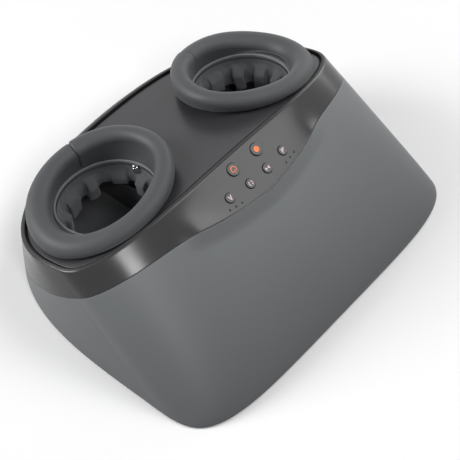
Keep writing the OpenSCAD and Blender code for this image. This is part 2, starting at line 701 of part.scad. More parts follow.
module chamber_outline(in = 0) {
    r = chamber_r - in;
    for (x = [chamber_x - chamber_w / 2 + chamber_r, chamber_x + chamber_w / 2 - chamber_r],
        y = [toe_y + chamber_r, heel_y - chamber_r]) translate([x, y]) circle(r = r, $fn = 72);
    translate([chamber_x - chamber_w / 2 + chamber_r, toe_y + in])
        square([chamber_w - 2 * chamber_r, heel_y - toe_y - 2 * in]);
    translate([chamber_x - chamber_w / 2 + in, toe_y + chamber_r])
        square([chamber_w - 2 * in, heel_y - toe_y - 2 * chamber_r]);
}

slot_gap = 1.5;
module foot_tray() {
    color([0.16, 0.16, 0.17])
    difference() {
        translate([0, 0, sole_z - tray_wall]) linear_extrude(tray_rim - sole_z + tray_wall) chamber_outline();
        translate([0, 0, sole_z]) linear_extrude(tray_top) chamber_outline(tray_wall);
        for (y = [front_shaft_y, rear_shaft_y], k = [-1 : 1])
            translate([chamber_x + k * wheel_pitch - wheel_w / 2 - slot_gap, y - wheel_r - slot_gap, 0])
                cube([wheel_w + 2 * slot_gap, 2 * (wheel_r + slot_gap), sole_z + 1]);
    }
}

module chamber_wall() {
    color([0.16, 0.16, 0.17])
    translate([0, 0, tray_rim + touch]) linear_extrude(tray_top - tray_rim - touch) difference() {
        chamber_outline();
        chamber_outline(tray_wall);
    }
}

module sole_liner() {
    color([0.2, 0.2, 0.22])
    difference() {
        translate([0, 0, sole_z + touch]) linear_extrude(sole_t) chamber_outline(tray_wall + touch);
        for (y = [front_shaft_y, rear_shaft_y]) translate([chamber_x - 60, y, shaft_z]) rotate([0, 90, 0])
            cylinder(r = wheel_r + 0.6, h = 120, $fn = 96);
    }
}

vault_slope = atan((vault_end_z - vault_toe_z) / (vault_end_y - toe_y));
hose_z = 83.5;
hose_y = -45;
nipple_r = 2.5;
wall_top_w = 53;
module along_chamber() {
    translate([chamber_x - chamber_w, 0, 0]) rotate([90, 0, 90]) linear_extrude(2 * chamber_w) children();
}
module roofed(in, drop, end) {
    intersection() {
        translate([0, 0, tray_top + touch - in / 10]) linear_extrude(60) chamber_outline(in);
        along_chamber() polygon([[toe_y - 1, 20], [end, 20],
            [end, vault_end_z - drop + (end - vault_end_y) * tan(vault_slope)],
            [toe_y - 1, vault_toe_z - drop - tan(vault_slope)]]);
    }
}
// The side walls go on to the heel, up to a plane under the collar, and the liner hangs inside them
module open_walls() {
    intersection() {
        difference() {
            translate([0, vault_end_y, tray_top + touch]) linear_extrude(60)
                translate([0, -vault_end_y]) chamber_outline();
            translate([0, 0, tray_top]) linear_extrude(70) chamber_outline(tray_wall);
            translate([chamber_x - chamber_w, toe_y - 10, 0])
                cube([2 * chamber_w, vault_end_y - 0.5 - toe_y + 10, 200]);
        }
        in_frame(collar_frame) translate([-120, -120, -wall_top_w - 100]) cube([240, 240, 100]);
    }
}
module foot_vault() {
    color([0.16, 0.16, 0.17])
    difference() {
        union() {
            difference() {
                roofed(0, 0, vault_end_y);
                roofed(tray_wall, tray_wall / cos(vault_slope), vault_end_y + 1);
            }
            open_walls();
        }
        translate([inside_x - 1, hose_y, hose_z]) rotate([0, 90, 0])
            cylinder(r = nipple_r + 0.4, h = tray_wall + 2, $fn = 32);
    }
}

bag_toe = 34;
function under_roof(y, drop) = [y, vault_end_z + (y - vault_end_y) * tan(vault_slope)
    - (tray_wall + touch) / cos(vault_slope) - drop];
module instep_bag() {
    toe = toe_y + bag_toe;
    end = vault_end_y - 2;
    color([0.3, 0.31, 0.33]) {
        intersection() {
            translate([0, 0, tray_top - 4]) linear_extrude(80) chamber_outline(tray_wall + touch);
            along_chamber() polygon([under_roof(end, 0), under_roof(toe, 0), under_roof(toe, bag_t),
                under_roof((toe + end) / 2, 1.5 * bag_t), under_roof(end, bag_t)]);
        }
        translate([inside_x - 4, hose_y, hose_z]) rotate([0, 90, 0])
            cylinder(r = nipple_r, h = tray_wall + 8, $fn = 32);
    }
}

// Buttons, their board and the indicators

flange_top = 5;
flange_t = 1.2;
stem_end = 9;
module button(k) {
    d = button_d(k);
    color([0.16, 0.16, 0.17])
    on_panel(button_places[k].x, button_places[k].y) {
        translate([0, 0, -flange_top]) cylinder(d = d, h = flange_top + cap_proud - 0.5, $fn = fine);
        translate([0, 0, cap_proud - 0.5]) cylinder(d1 = d, d2 = d - 1, h = 0.5, $fn = fine);
        translate([0, 0, -flange_top - flange_t]) cylinder(d = d + 2 * flange_out, h = flange_t, $fn = fine);
        translate([0, 0, -stem_end + button_travel]) cylinder(d = 3.4, h = stem_end - flange_top, $fn = fine);
    }
}

module button_board() {
    color([0.05, 0.25, 0.12])
    difference() {
        on_panel(0, board_y, board_depth) translate([-board_w / 2, -board_l / 2, -board_t])
            cube([board_w, board_l, board_t]);
        for (p = post_places) over_board(p, -board_t - 1) cylinder(r = 1.2, h = board_t + 2, $fn = fine);
    }
}
module tact_switches() {
    color([0.1, 0.1, 0.1])
    for (p = button_places) over_board(p) {
        h = panel_depth(p) - stem_end - 0.2;
        translate([-3, -3, 0]) cube([6, 6, h - 1]);
        translate([0, 0, h - 1.5]) cylinder(r = 1.7, h = 1.5, $fn = fine);
    }
}
module indicator_lights() {
    color([0.03, 0.03, 0.03])
    for (p = light_places) over_board(p) cylinder(d = light_d, h = panel_depth(p) - 0.5, $fn = fine);
}

pcb_z = 11;
pcb_y = -105;
pcb_w = 96;
pcb_l = 56;
module control_board() {
    color([0.05, 0.25, 0.12])
    difference() {
        translate([-pcb_w / 2, pcb_y - pcb_l / 2, pcb_z]) cube([pcb_w, pcb_l, board_t]);
        for (p = board_posts) translate([p.x, p.y, pcb_z - 1]) cylinder(r = 1.2, h = board_t + 2, $fn = fine);
    }
}
module board_parts() {
    top = pcb_z + board_t;
    color([0.15, 0.15, 0.18]) {
        translate([-38, -124, top]) cube([28, 24, 22]);
        translate([4, -122, top]) cube([14, 14, 5]);
        translate([24, -124, top]) cube([16, 18, 12]);
        translate([-12, -86, top]) cube([24, 6, socket_h]);
        translate([-38, -88, top]) cube([14, 8, socket_h + 2]);
        translate([24, -86, top]) cube([16, 6, socket_h]);
    }
    color([0.2, 0.3, 0.6]) {
        translate([-2, -94, top]) cylinder(r = 5, h = 16, $fn = fine);
        translate([30, -94, top]) cylinder(r = 5, h = 14, $fn = fine);
    }
}
socket_h = 7;
ribbon_t = 1;
ribbon_w = 20;
module ribbon_cable() {
    a = [board_centre.y - 6, board_centre.z - 6 * tan(panel_angle) - (board_t + touch) / cos(panel_angle)];
    b = [-83, pcb_z + board_t + socket_h + touch];
    color([0.5, 0.5, 0.52])
    translate([-ribbon_w / 2, 0, 0]) rotate([90, 0, 90]) linear_extrude(ribbon_w)
        polygon([a, a + [ribbon_t, 0], [a.x + ribbon_t, 90], [b.x + ribbon_t, 60], b + [ribbon_t, 0], b,
            [b.x, 60], [a.x, 90]]);
}
board_centre = skin_at(0, board_y) - board_depth * [0, -sin(panel_angle), cos(panel_angle)];

// Power inlet

module two_pin_outline(r, d) {
    for (x = [-d, d]) translate([x, 0]) circle(r = r, $fn = fine);
    translate([-d, -r]) square([2 * d, 2 * r]);
}
module power_inlet() {
    color([0.05, 0.05, 0.05])
    translate([0, inlet_y, inlet_z]) difference() {
        union() {
            translate([-inlet_w / 2, -inlet_depth, -inlet_h / 2]) cube([inlet_w, inlet_depth, inlet_h]);
            translate([-inlet_w / 2 - inlet_lip, touch + 0.1, -inlet_h / 2 - inlet_lip])
                cube([inlet_w + 2 * inlet_lip, 2.1, inlet_h + 2 * inlet_lip]);
            translate([-inlet_w / 2, -1, -inlet_h / 2]) cube([inlet_w, 2, inlet_h]);
        }
        translate([0, 5, 0]) rotate([90, 0, 0]) linear_extrude(18) two_pin_outline(4.1, 4.3);
        for (x = [-4.3, 4.3]) translate([x, 0, 0]) rotate([90, 0, 0])
            cylinder(r = 1.25, h = inlet_depth + 1, $fn = fine);
    }
}
module inlet_pins() {
    color([0.8, 0.8, 0.8])
    for (x = [-4.3, 4.3]) translate([x, inlet_y - 4, inlet_z]) rotate([90, 0, 0])
        cylinder(r = 1.2, h = inlet_depth, $fn = fine);
}
module power_wires() {
    color([0.1, 0.1, 0.1])
    for (x = [-4.3, 4.3])
        swept(rounded([[x, inlet_y - inlet_depth - 4.3, inlet_z], [x, inlet_y - inlet_depth - 8, inlet_z],
            [x, 142, 62], [x - 8, 120, 70], [x - 10, 60, 68], [x - 12, 0, 66], [x - 14, -50, 56],
            [x - 24, -76, 34], [x * 0.6 - 31, -84, 28], [x * 0.6 - 31, -84, pcb_z + board_t + socket_h + 2.3]], 2),
            1.3, 6);
}

// Rollers

module shaft(y) {
    color([0.75, 0.75, 0.76])
    translate([-shaft_l / 2, y, shaft_z]) rotate([0, 90, 0]) cylinder(r = shaft_r, h = shaft_l, $fn = fine);
}
block_w = 12;
block_h = 28;
block_l = 24;
block_x = [inside_x - 2 - block_w, chamber_x + chamber_w / 2 + 4];
shaft_l = 2 * (block_x[1] + block_w + 2);
module bearing_blocks() {
    color([0.85, 0.84, 0.8])
    for (y = [front_shaft_y, rear_shaft_y], x = block_x) both_sides() translate([x, y, 0])
        difference() {
            translate([0, -block_l / 2, base_top]) cube([block_w, block_l, block_h - base_top]);
            translate([-1, 0, shaft_z]) rotate([0, 90, 0])
                cylinder(r = shaft_r + running_gap, h = block_w + 2, $fn = fine);
        }
}
press_gap = 0.02;
nodules = 6;
module massage_wheel(turn) {
    core = wheel_r - nodule_r + 0.8;
    rotate([0, 90, 0]) difference() {
        union() {
            cylinder(r = core, h = wheel_w, center = true, $fn = fine);
            for (k = [0 : nodules - 1]) rotate(turn + 360 * k / nodules)
                translate([wheel_r - nodule_r, 0, (k % 2 - 0.5) * (wheel_w - 2 * nodule_r)])
                    sphere(r = nodule_r, $fn = 32);
        }
        cylinder(r = shaft_r + press_gap, h = wheel_w + 2, center = true, $fn = fine);
    }
}
module massage_wheels(y) {
    color([0.45, 0.45, 0.47])
    for (side = [-1, 1], k = [-1 : 1])
        translate([side * (chamber_x + k * wheel_pitch), y, shaft_z]) massage_wheel(20 * k + 10 * side);
}

// Drive: a motor with a gearhead, one pair of gears and a belt to the second shaft

gear_r = tooth_module * gear_teeth / 2;
pinion_r = tooth_module * pinion_teeth / 2;
tooth_play = 0.22;
tooth_tip = 0.85 * tooth_module;
pinion_y = front_shaft_y + (gear_r + pinion_r) * cos(pinion_angle);
pinion_z = shaft_z + (gear_r + pinion_r) * sin(pinion_angle);
module toothed(teeth, turn) {
    r = tooth_module * teeth / 2;
    root = r - 1.15 * tooth_module;
    tip = r + tooth_tip;
    half = 90 / teeth;
    play = tooth_play / 2 / r * 180 / PI;
    circle(r = root, $fn = 4 * teeth);
    for (k = [0 : teeth - 1]) rotate(turn + 360 * k / teeth) polygon([
        [(root - 0.3) * cos(half * 1.5), -(root - 0.3) * sin(half * 1.5)],
        [r * cos(half - play), -r * sin(half - play)],
        [tip * cos(half * 0.45), -tip * sin(half * 0.45)],
        [tip * cos(half * 0.45), tip * sin(half * 0.45)],
        [r * cos(half - play), r * sin(half - play)],
        [(root - 0.3) * cos(half * 1.5), (root - 0.3) * sin(half * 1.5)]]);
}
// Turned so that Y of the outline is the row's Y and a tooth of the gear points at the pinion
module across(x, y, z) {
    translate([x, y, z]) rotate([90, 0, 90]) children();
}
module roller_gear() {
    color([0.9, 0.88, 0.8])
    across(gear_x - gear_w / 2, front_shaft_y, shaft_z) difference() {
        union() {
            linear_extrude(gear_w) toothed(gear_teeth, pinion_angle);
            translate([0, 0, -4]) cylinder(r = 8, h = 4, $fn = fine);
        }
        translate([0, 0, -6]) cylinder(r = shaft_r + press_gap, h = gear_w + 12, $fn = fine);
    }
}
spindle_r = 2.5;
module drive_pinion() {
    color([0.8, 0.7, 0.4])
    across(gear_x - gear_w / 2, pinion_y, pinion_z) union() {
        linear_extrude(gear_w) toothed(pinion_teeth, pinion_angle + 180 + 180 / pinion_teeth);
        cylinder(r = spindle_r, h = gear_w + 8, $fn = fine);
    }
}
bracket_x = gear_x + gear_w / 2 + 2;
bracket_t = 2;
bracket_w = 30;
head_x = bracket_x + bracket_t + 0.3;
head_r = 14.5;
head_l = 18;
motor_r = 14;
motor_l = 34;
module gearhead() {
    color([0.6, 0.6, 0.62])
    across(head_x, pinion_y, pinion_z) difference() {
        cylinder(r = head_r, h = head_l, $fn = fine);
        translate([0, 0, -1]) cylinder(r = spindle_r + running_gap, h = 8, $fn = fine);
    }
}
module drive_motor() {
    color([0.5, 0.5, 0.53])
    across(head_x + head_l, pinion_y, pinion_z) union() {
        cylinder(r = motor_r, h = motor_l - 2, $fn = fine);
        translate([0, 0, motor_l - 2]) cylinder(r = 5, h = 2, $fn = fine);
    }
}
module motor_bracket() {
    color([0.6, 0.6, 0.62])
    difference() {
        union() {
            translate([bracket_x, pinion_y - bracket_w / 2 + 5, base_top])
                cube([bracket_t, bracket_w - 5, pinion_z + head_r - base_top]);
            translate([bracket_x, pinion_y - bracket_w / 2 + 5, base_top])
                cube([26, bracket_w - 5, bracket_t]);
        }
        across(bracket_x - 1, pinion_y, pinion_z) cylinder(r = spindle_r + 2, h = bracket_t + 2, $fn = fine);
        translate([bracket_x + 18, pinion_y - 2, base_top - 1]) cylinder(r = 2.2, h = bracket_t + 2, $fn = fine);
    }
}

module pulley(y) {
    color([0.2, 0.2, 0.2])
    across(pulley_x - belt_w / 2 - 1.5, y, shaft_z) difference() {
        union() {
            cylinder(r = pulley_r, h = belt_w + 3, $fn = 72);
            for (z = [0, belt_w + 2]) translate([0, 0, z]) cylinder(r = pulley_r + 1.2, h = 1, $fn = 72);
        }
        translate([0, 0, -1]) cylinder(r = shaft_r + press_gap, h = belt_w + 6, $fn = fine);
    }
}
belt_gap = 0.08;
module belt_outline(r) {
    for (y = [front_shaft_y, rear_shaft_y]) translate([y, shaft_z]) circle(r = r, $fn = 96);
    translate([front_shaft_y, shaft_z - r]) square([rear_shaft_y - front_shaft_y, 2 * r]);
}
module roller_belt() {
    color([0.06, 0.06, 0.06])
    translate([pulley_x - belt_w / 2, 0, 0]) rotate([90, 0, 90]) linear_extrude(belt_w) difference() {
        belt_outline(pulley_r + belt_gap + belt_t);
        belt_outline(pulley_r + belt_gap);
    }
}

// Air pump, valve block and hoses

pump_at = [-48, 92];
pump_size = [50, 46, 44];
module air_pump() {
    color([0.13, 0.13, 0.14])
    translate([pump_at.x, pump_at.y, base_top]) {
        for (x = [8, pump_size.x - 8], y = [8, pump_size.y - 8]) translate([x, y, 0])
            cylinder(r = 5, h = 5, $fn = fine);
        translate([0, 0, 5]) cube(pump_size);
        translate([pump_size.x / 2, pump_size.y / 2, pump_size.z + 5]) cylinder(r = 16, h = 7, $fn = fine);
        translate([pump_size.x / 2, 0, pump_size.z - 4]) rotate([90, 0, 0]) cylinder(r = 2.5, h = 6, $fn = fine);
    }
}
valve_at = [14, 98];
valve_size = [34, 24, 18];
module valve_block() {
    color([0.8, 0.8, 0.82])
    translate([valve_at.x, valve_at.y, base_top]) {
        cube(valve_size);
        for (k = [0 : 2]) translate([6 + 11 * k, valve_size.y / 2 + 4, valve_size.z])
            cylinder(r = 4.5, h = 16, $fn = fine);
        for (k = [0 : 2]) translate([6 + 11 * k, 0, 11]) rotate([90, 0, 0]) cylinder(r = 2.5, h = 6, $fn = fine);
    }
}
hose_r = 3;
module air_hoses() {
    valve_front = valve_at.y - 6.3;
    nose = inside_x - 4.3;
    pump_out = [pump_at.x + pump_size.x / 2, pump_at.y - 6.3, base_top + pump_size.z - 4];
    color([0.75, 0.76, 0.78]) {
        swept(rounded([pump_out, pump_out - [0, 5, 0], [-14, 78, 44], [4, 80, 28],
            [valve_at.x + 6, valve_front - 6, base_top + 11], [valve_at.x + 6, valve_front, base_top + 11]], 3), hose_r);
        swept(rounded([[valve_at.x + 17, valve_front, base_top + 11], [valve_at.x + 17, valve_front - 6, base_top + 11],
            [26, 76, 40], [10, 50, 54], [-16, 20, 60], [-34, -10, 66], [-44, -34, hose_z - 5],
            [-nose + 6, hose_y, hose_z], [-nose, hose_y, hose_z]], 3), hose_r);
        swept(rounded([[valve_at.x + 28, valve_front, base_top + 11], [valve_at.x + 28, valve_front - 6, base_top + 11],
            [36, 77, 36], [42, 50, 58], [42, 20, 66], [40, -10, 70], [43, -34, hose_z - 5],
            [nose - 6, hose_y, hose_z], [nose, hose_y, hose_z]], 3), hose_r);
    }
}

motor_wires = [for (k = [0, 1]) [[44 - 4 * k, pinion_y - 2, pinion_z + motor_r + 1.3],
    [44 - 4 * k, pinion_y - 6, pinion_z + motor_r + 1.3], [43 - 4 * k, -46, 54],
    [40 - 3 * k, -66, 40], [37.5 - 3 * k, -83, 28], [37.5 - 3 * k, -83, pcb_z + board_t + socket_h + touch]]];
pump_wires = [for (k = [0, 1]) [[-4 - 4 * k, pump_at.y - touch, base_top + pump_size.z],
    [-4 - 4 * k, pump_at.y - 6, base_top + pump_size.z], [2 - 4 * k, 76, 60],
    [14 - 4 * k, 50, 70], [18 - 4 * k, 0, 74], [22 - 4 * k, -40, 68], [27 - 3 * k, -70, 48],
    [30.5 - 3 * k, -83, 28], [30.5 - 3 * k, -83, pcb_z + board_t + socket_h + touch]]];
module drive_wires() {
    color([0.6, 0.1, 0.1]) for (w = concat(motor_wires, pump_wires)) swept(rounded(w, 2), 1.1, 6);
}

lower_housing();
base_plate();
base_screws();
rubber_feet();
upper_cover();
deck_plate();
mirror([1, 0, 0]) ring_collar();  // ring_collar_left
ring_collar();  // ring_collar_right
mirror([1, 0, 0]) ring_cushion();  // ring_cushion_left
ring_cushion();  // ring_cushion_right
mirror([1, 0, 0]) liner_cuff();  // liner_cuff_left
liner_cuff();  // liner_cuff_right
mirror([1, 0, 0]) zip_track();  // zip_track_left
zip_track();  // zip_track_right
mirror([1, 0, 0]) zip_slider();  // zip_slider_left
zip_slider();  // zip_slider_right
mirror([1, 0, 0]) zip_pull();  // zip_pull_left
zip_pull();  // zip_pull_right
mirror([1, 0, 0]) foot_tray();  // foot_tray_left
foot_tray();  // foot_tray_right
mirror([1, 0, 0]) chamber_wall();  // chamber_wall_left
chamber_wall();  // chamber_wall_right
mirror([1, 0, 0]) sole_liner();  // sole_liner_left
sole_liner();  // sole_liner_right
mirror([1, 0, 0]) foot_vault();  // foot_vault_left
foot_vault();  // foot_vault_right
mirror([1, 0, 0]) instep_bag();  // instep_bag_left
instep_bag();  // instep_bag_right
button(0);  // button_on_off
button(1);  // button_stop
button(2);  // button_auto
button(3);  // button_roller
button(4);  // button_air
button(5);  // button_intensity
indicator_lights();
button_board();
tact_switches();
ribbon_cable();
control_board();
board_parts();
power_inlet();
inlet_pins();
power_wires();
drive_wires();
shaft(front_shaft_y);  // front_roller_shaft
shaft(rear_shaft_y);  // rear_roller_shaft
massage_wheels(front_shaft_y);  // front_massage_wheels
massage_wheels(rear_shaft_y);  // rear_massage_wheels
bearing_blocks();
roller_gear();
pulley(front_shaft_y);  // front_pulley
pulley(rear_shaft_y);  // rear_pulley
roller_belt();
drive_pinion();
gearhead();
drive_motor();
motor_bracket();
air_pump();
valve_block();
air_hoses();
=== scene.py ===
"""A two-foot massager: the looks of its pieces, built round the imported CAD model.

Places and sizes are in millimetres until add_mesh() turns them into metres; only the lamps
are given in metres.
"""

import json
from math import cos, pi, radians, sin

import bmesh
import bpy
import numpy as np
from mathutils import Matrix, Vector


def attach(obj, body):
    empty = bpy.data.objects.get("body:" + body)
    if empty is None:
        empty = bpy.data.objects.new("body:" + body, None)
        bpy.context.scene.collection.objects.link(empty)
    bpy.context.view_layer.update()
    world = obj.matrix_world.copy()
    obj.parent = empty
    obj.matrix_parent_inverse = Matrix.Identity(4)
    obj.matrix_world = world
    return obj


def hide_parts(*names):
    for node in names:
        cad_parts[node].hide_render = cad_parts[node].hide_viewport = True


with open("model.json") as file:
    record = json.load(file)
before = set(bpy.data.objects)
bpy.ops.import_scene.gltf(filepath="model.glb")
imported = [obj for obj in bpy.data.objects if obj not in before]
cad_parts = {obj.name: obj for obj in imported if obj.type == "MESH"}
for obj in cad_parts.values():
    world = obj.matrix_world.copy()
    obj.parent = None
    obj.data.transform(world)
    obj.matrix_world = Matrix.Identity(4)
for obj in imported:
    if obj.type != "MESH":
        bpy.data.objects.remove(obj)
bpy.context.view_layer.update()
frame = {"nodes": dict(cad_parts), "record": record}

METRE = 0.001
SIDES = {"left": -1, "right": 1}

# Driving sizes of the housing, the same as in the CAD model
BASE_HALF = 225
BASE_MID_Y = -86
BASE_FRONT = 94.5
BASE_BACK = 266.5
BASE_FRONT_N = 4.7
BASE_BACK_N = 3.2
RIM_HALF = 213.5
RIM_MID_Y = 39
RIM_FRONT = 65.5
RIM_BACK = 120.5
RIM_N = 2.72
DECK_H = 135
DECK_FALL = 0.312
DECK_ARCH = 25.5
FLOOR_GAP = 1.5
WALL = 3
SHOULDER = radians(36.5)
SKIN_DROP = 0.8
KNEE_LEAST = 5

# The seam between the shells, and the brow above it
SEAM_TOP = 130.5
SEAM_CREST_Y = -51
SEAM_FALL = 0.804
SEAM_CURVE = 0.0011
SEAM_DIP = 0.41
SEAM_LOW = 28
SEAM_SOFT = 6
SEAM_FLOOR_SOFT = 8
SEAM_GAP = 0.5
BROW_OUT = 6
BROW_FULL_X = 85
BROW_END_X = 125
CREASE_WIDTH = 0.042
CREASE_SOFT = 0.35

# Lip, groove and deck
LIP_W = 4
GROOVE_W = 3
LEDGE_W = 6
LEDGE_T = 2.5
DECK_RECESS = 2.5
DECK_T = 3
LEDGE_DROP = DECK_RECESS + DECK_T + 0.3

# Ankle rings: each stands in a leaning frame, and its collar in another
RING_X = 116.5
RING_Y = 61.5
RING_LIFT = 10.1
RING_OUT = radians(13)
RING_BACK = radians(9.5)
RING_RX = 75.5
RING_RY = 65.5
RING_TUBE = 12.2
RING_SWELL = 2.1
RING_SADDLE = 1.5
RING_SEAM = radians(109)
RING_SEAT = 10
COLLAR_X = 113.5
COLLAR_DROP = 2.3
COLLAR_OUT = radians(3.2)
COLLAR_BACK = radians(11.1)
COLLAR_R = 68
THROAT_R = 58

# Liner and zip
HEM_R = 57.6
HEM_TOP = 12
HEM_H = 7
CLOTH_T = 1.2
LOOPS = 11
LOOP_DEPTH = 11
LOOP_NECK = 0.21
GATHER_IN = 2.4
HANG = 31
HANG_SWAY = 6.5
HANG_LOOP = 6
LONGEST = {"left": radians(55), "right": radians(40)}
CUFF_SHIFT = 2
ZIP_R = 56.1
ZIP_H = 2.4
ZIP_DEPTH = HEM_TOP + HEM_H / 2

# Panel
PANEL_ANGLE = radians(31)
CAP_PROUD = 1.6
KEY_GAP = 0.5
LARGE_D = 14.4
SMALL_D = 11.2
KEYS = {
    "on_off": (-19, -37.5, LARGE_D),
    "stop": (19, -37.5, LARGE_D),
    "auto": (-44, -54, SMALL_D),
    "roller": (-14, -57, SMALL_D),
    "air": (14, -57, SMALL_D),
    "intensity": (44, -54, SMALL_D),
}
LIGHT_X = 45.5
LIGHT_Y = -63.5
LIGHT_PITCH = 8.5
LIGHT_TURN = radians(9)
LIGHT_D = 2.2
LIGHT_GAP = 0.15
LIGHT_SIDES = 24

# Foot chambers and the inlet
CHAMBER_X = 112
CHAMBER_W = 108
CHAMBER_R = 40
TOE_Y = -118
HEEL_Y = 152
TRAY_WALL = 2.5
SOLE_Z = 35
SOLE_T = 4.5
SHAFT_YS = (-45, 70)
WHEEL_PITCH = 32
VAULT_TOE_Z = 61
VAULT_END_Z = 103
VAULT_END_Y = -13
BAG_T = 6
BAG_TOE = 34
HOSE_Y = -45
HOSE_Z = 83.5
NIPPLE_R = 2.5
INLET_Z = 47
INLET_W = 25
INLET_H = 15
INLET_LIP = 1.5

# The camera, solved from the photograph's outlines
VIEW_AZIMUTH = radians(-50.47)
VIEW_ELEVATION = radians(50.05)
VIEW_DISTANCE = 1504.1
VIEW_TARGET = Vector((-37.2, -48.4, 74.3))
FOCAL_PIXELS = 1396.4
PHOTO_PIXELS = 460


# Plan outlines, the rim surface and the skin between them


def power(v, e):
    return np.sign(v) * np.abs(v) ** e


def plan(t, half, mid, front, back, front_n, back_n):
    n = np.where(np.sin(t) < 0, front_n, back_n)
    reach = np.where(np.sin(t) < 0, front, back)
    return half * power(np.cos(t), 2 / n), mid + reach * power(np.sin(t), 2 / n)


def base_plan(t, inset=0):
    front, back = BASE_FRONT - inset, BASE_BACK - inset
    return plan(t, BASE_HALF - inset, BASE_MID_Y, front, back, BASE_FRONT_N, BASE_BACK_N)


def rim_plan(t, inset=0):
    return plan(t, RIM_HALF - inset, RIM_MID_Y, RIM_FRONT - inset, RIM_BACK - inset, RIM_N, RIM_N)


def rim_z(x, y):
    return DECK_H - DECK_FALL * (y - RIM_MID_Y) - DECK_ARCH * (x / RIM_HALF) ** 2


def bare_skin(t, u, inset=0):
    """Points of the skin without its brow; u runs from 0 at the floor to 1 at the rim."""
    bx, by = base_plan(t, inset)
    rx, ry = rim_plan(t, inset)
    top = rim_z(rx, ry) - inset * SKIN_DROP
    knee = np.maximum(top - np.hypot(rx - bx, ry - by) * np.tan(SHOULDER), KNEE_LEAST)
    low, mid, high = (1 - u) ** 2, 2 * u * (1 - u), u**2
    x = (low + mid) * bx + high * rx
    y = (low + mid) * by + high * ry
    return np.stack([x, y, low * FLOOR_GAP + mid * knee + high * top], -1)


def soft(v, r):
    """v where it is positive and 0 where it isn't, with a round bend of size r."""
    return (v + np.sqrt(v * v + r * r)) / 2


def seam_z(y):
    s = y - SEAM_CREST_Y
    back = soft(s, SEAM_SOFT)
    line = SEAM_TOP - SEAM_FALL * back + SEAM_CURVE * back**2 - SEAM_DIP * soft(-s, SEAM_SOFT)
    return SEAM_LOW + soft(line - SEAM_LOW, SEAM_FLOOR_SOFT)


def halved(low, high, too_low, steps=24):
    """The place between low and high where too_low turns false, found by halving."""
    for _ in range(steps):
        mid = (low + high) / 2
        under = too_low(mid)
        low, high = np.where(under, mid, low), np.where(under, high, mid)
    return (low + high) / 2


def seam_u(t, shift=0):
    def too_low(u):
        p = bare_skin(t, u)
        return p[..., 2] < seam_z(p[..., 1]) + shift

    return halved(np.zeros_like(t), np.ones_like(t), too_low)


def below_rim_u(t, depth):
    rx, ry = rim_plan(t)
    level = rim_z(rx, ry) - depth
    return halved(np.zeros_like(t), np.ones_like(t), lambda u: bare_skin(t, u, WALL)[..., 2] < level)


def ease(v):
    c = np.clip(v, 0, 1)
    return c * c * (3 - 2 * c)


def crease_of(seam):
    return seam - np.minimum(CREASE_WIDTH, seam / 3)


def brow_at(u, seam):
    """The brow's share of its reach: it grows from rim to seam and dies out in a soft crease."""
    crease = crease_of(seam)
    below = (u - crease) / (seam - crease)
    bent = (np.clip(below, -CREASE_SOFT, CREASE_SOFT) + CREASE_SOFT) ** 2 / (4 * CREASE_SOFT)
    return np.where(u > seam, ((1 - u) / (1 - seam)) ** 2, np.where(below > CREASE_SOFT, below, bent))


def skin(t, u, seam, inset=0):
    p = bare_skin(t, u, inset)
    fade = 1 - ease((np.abs(p[..., 0]) - BROW_FULL_X) / (BROW_END_X - BROW_FULL_X))
    out = np.where(np.sin(t) > 0, 0, BROW_OUT * brow_at(u, seam) * fade)
    return p + out[..., None] * np.array([0, -sin(SHOULDER), cos(SHOULDER)])


def on_rim(t, inset, down):
    x, y = rim_plan(t, inset)
    return np.stack([x, y, rim_z(x, y) - down], -1)


def skin_at(x, y):
    """The point of the skin's front half over a place in plan."""

    def at(t):
        seam = seam_u(t)
        u = halved(np.zeros_like(t), np.ones_like(t), lambda u: skin(t, u, seam)[..., 1] < y, 20)
        return skin(t, u, seam)

    t = halved(np.array([pi]), np.array([2 * pi]), lambda t: at(t)[..., 0] < x, 20)
    return np.array([x, *at(t)[0][1:]])


# Meshes from rows of points


def unit(v):
    return v / np.linalg.norm(v, axis=-1, keepdims=True)


def rounded(before, corner, after, radius, steps=4):
    """Rows of points that round off a corner of a section, all along its loop."""
    a = corner + radius * unit(before - corner)
    b = corner + radius * unit(after - corner)
    return [(1 - s) ** 2 * a + 2 * s * (1 - s) * corner + s * s * b for s in np.linspace(0, 1, steps + 1)]


def grid_faces(rows, cols, wrap_rows=True, wrap_cols=True):
    faces = []
    for j in range(rows if wrap_rows else rows - 1):
        for i in range(cols if wrap_cols else cols - 1):
            here, there = j * cols, (j + 1) % rows * cols
            faces.append((here + i, here + (i + 1) % cols, there + (i + 1) % cols, there + i))
    return faces


def add_mesh(name, points, faces, sharp=40, mirrored=False):
    """A new object from points in millimetres, smooth up to the sharp angle, faces turned out."""
    points = np.asarray(points, float) * METRE
    if mirrored:
        points = points * [-1, 1, 1]
    mesh = bpy.data.meshes.new(name)
    mesh.from_pydata(points.tolist(), [], faces)
    tidy = bmesh.new()
    tidy.from_mesh(mesh)
    bmesh.ops.remove_doubles(tidy, verts=tidy.verts, dist=1e-7)
    bmesh.ops.recalc_face_normals(tidy, faces=tidy.faces)
    tidy.to_mesh(mesh)
    tidy.free()
    piece = bpy.data.objects.new(name, mesh)
    bpy.context.scene.collection.objects.link(piece)
    smooth(piece, sharp)
    return piece


def smooth(piece, sharp):
    piece.data.polygons.foreach_set("use_smooth", [True] * len(piece.data.polygons))
    piece.data.set_sharp_from_angle(angle=radians(sharp))


def loop_mesh(name, sections, wrap_rows=True, **options):
    """A closed ring of closed sections, given as one list of rows that each go round the ring."""
    points = np.stack(sections, 1)
    rows, cols = points.shape[:2]
    return add_mesh(name, points.reshape(-1, 3), grid_faces(rows, cols, wrap_rows), **options)


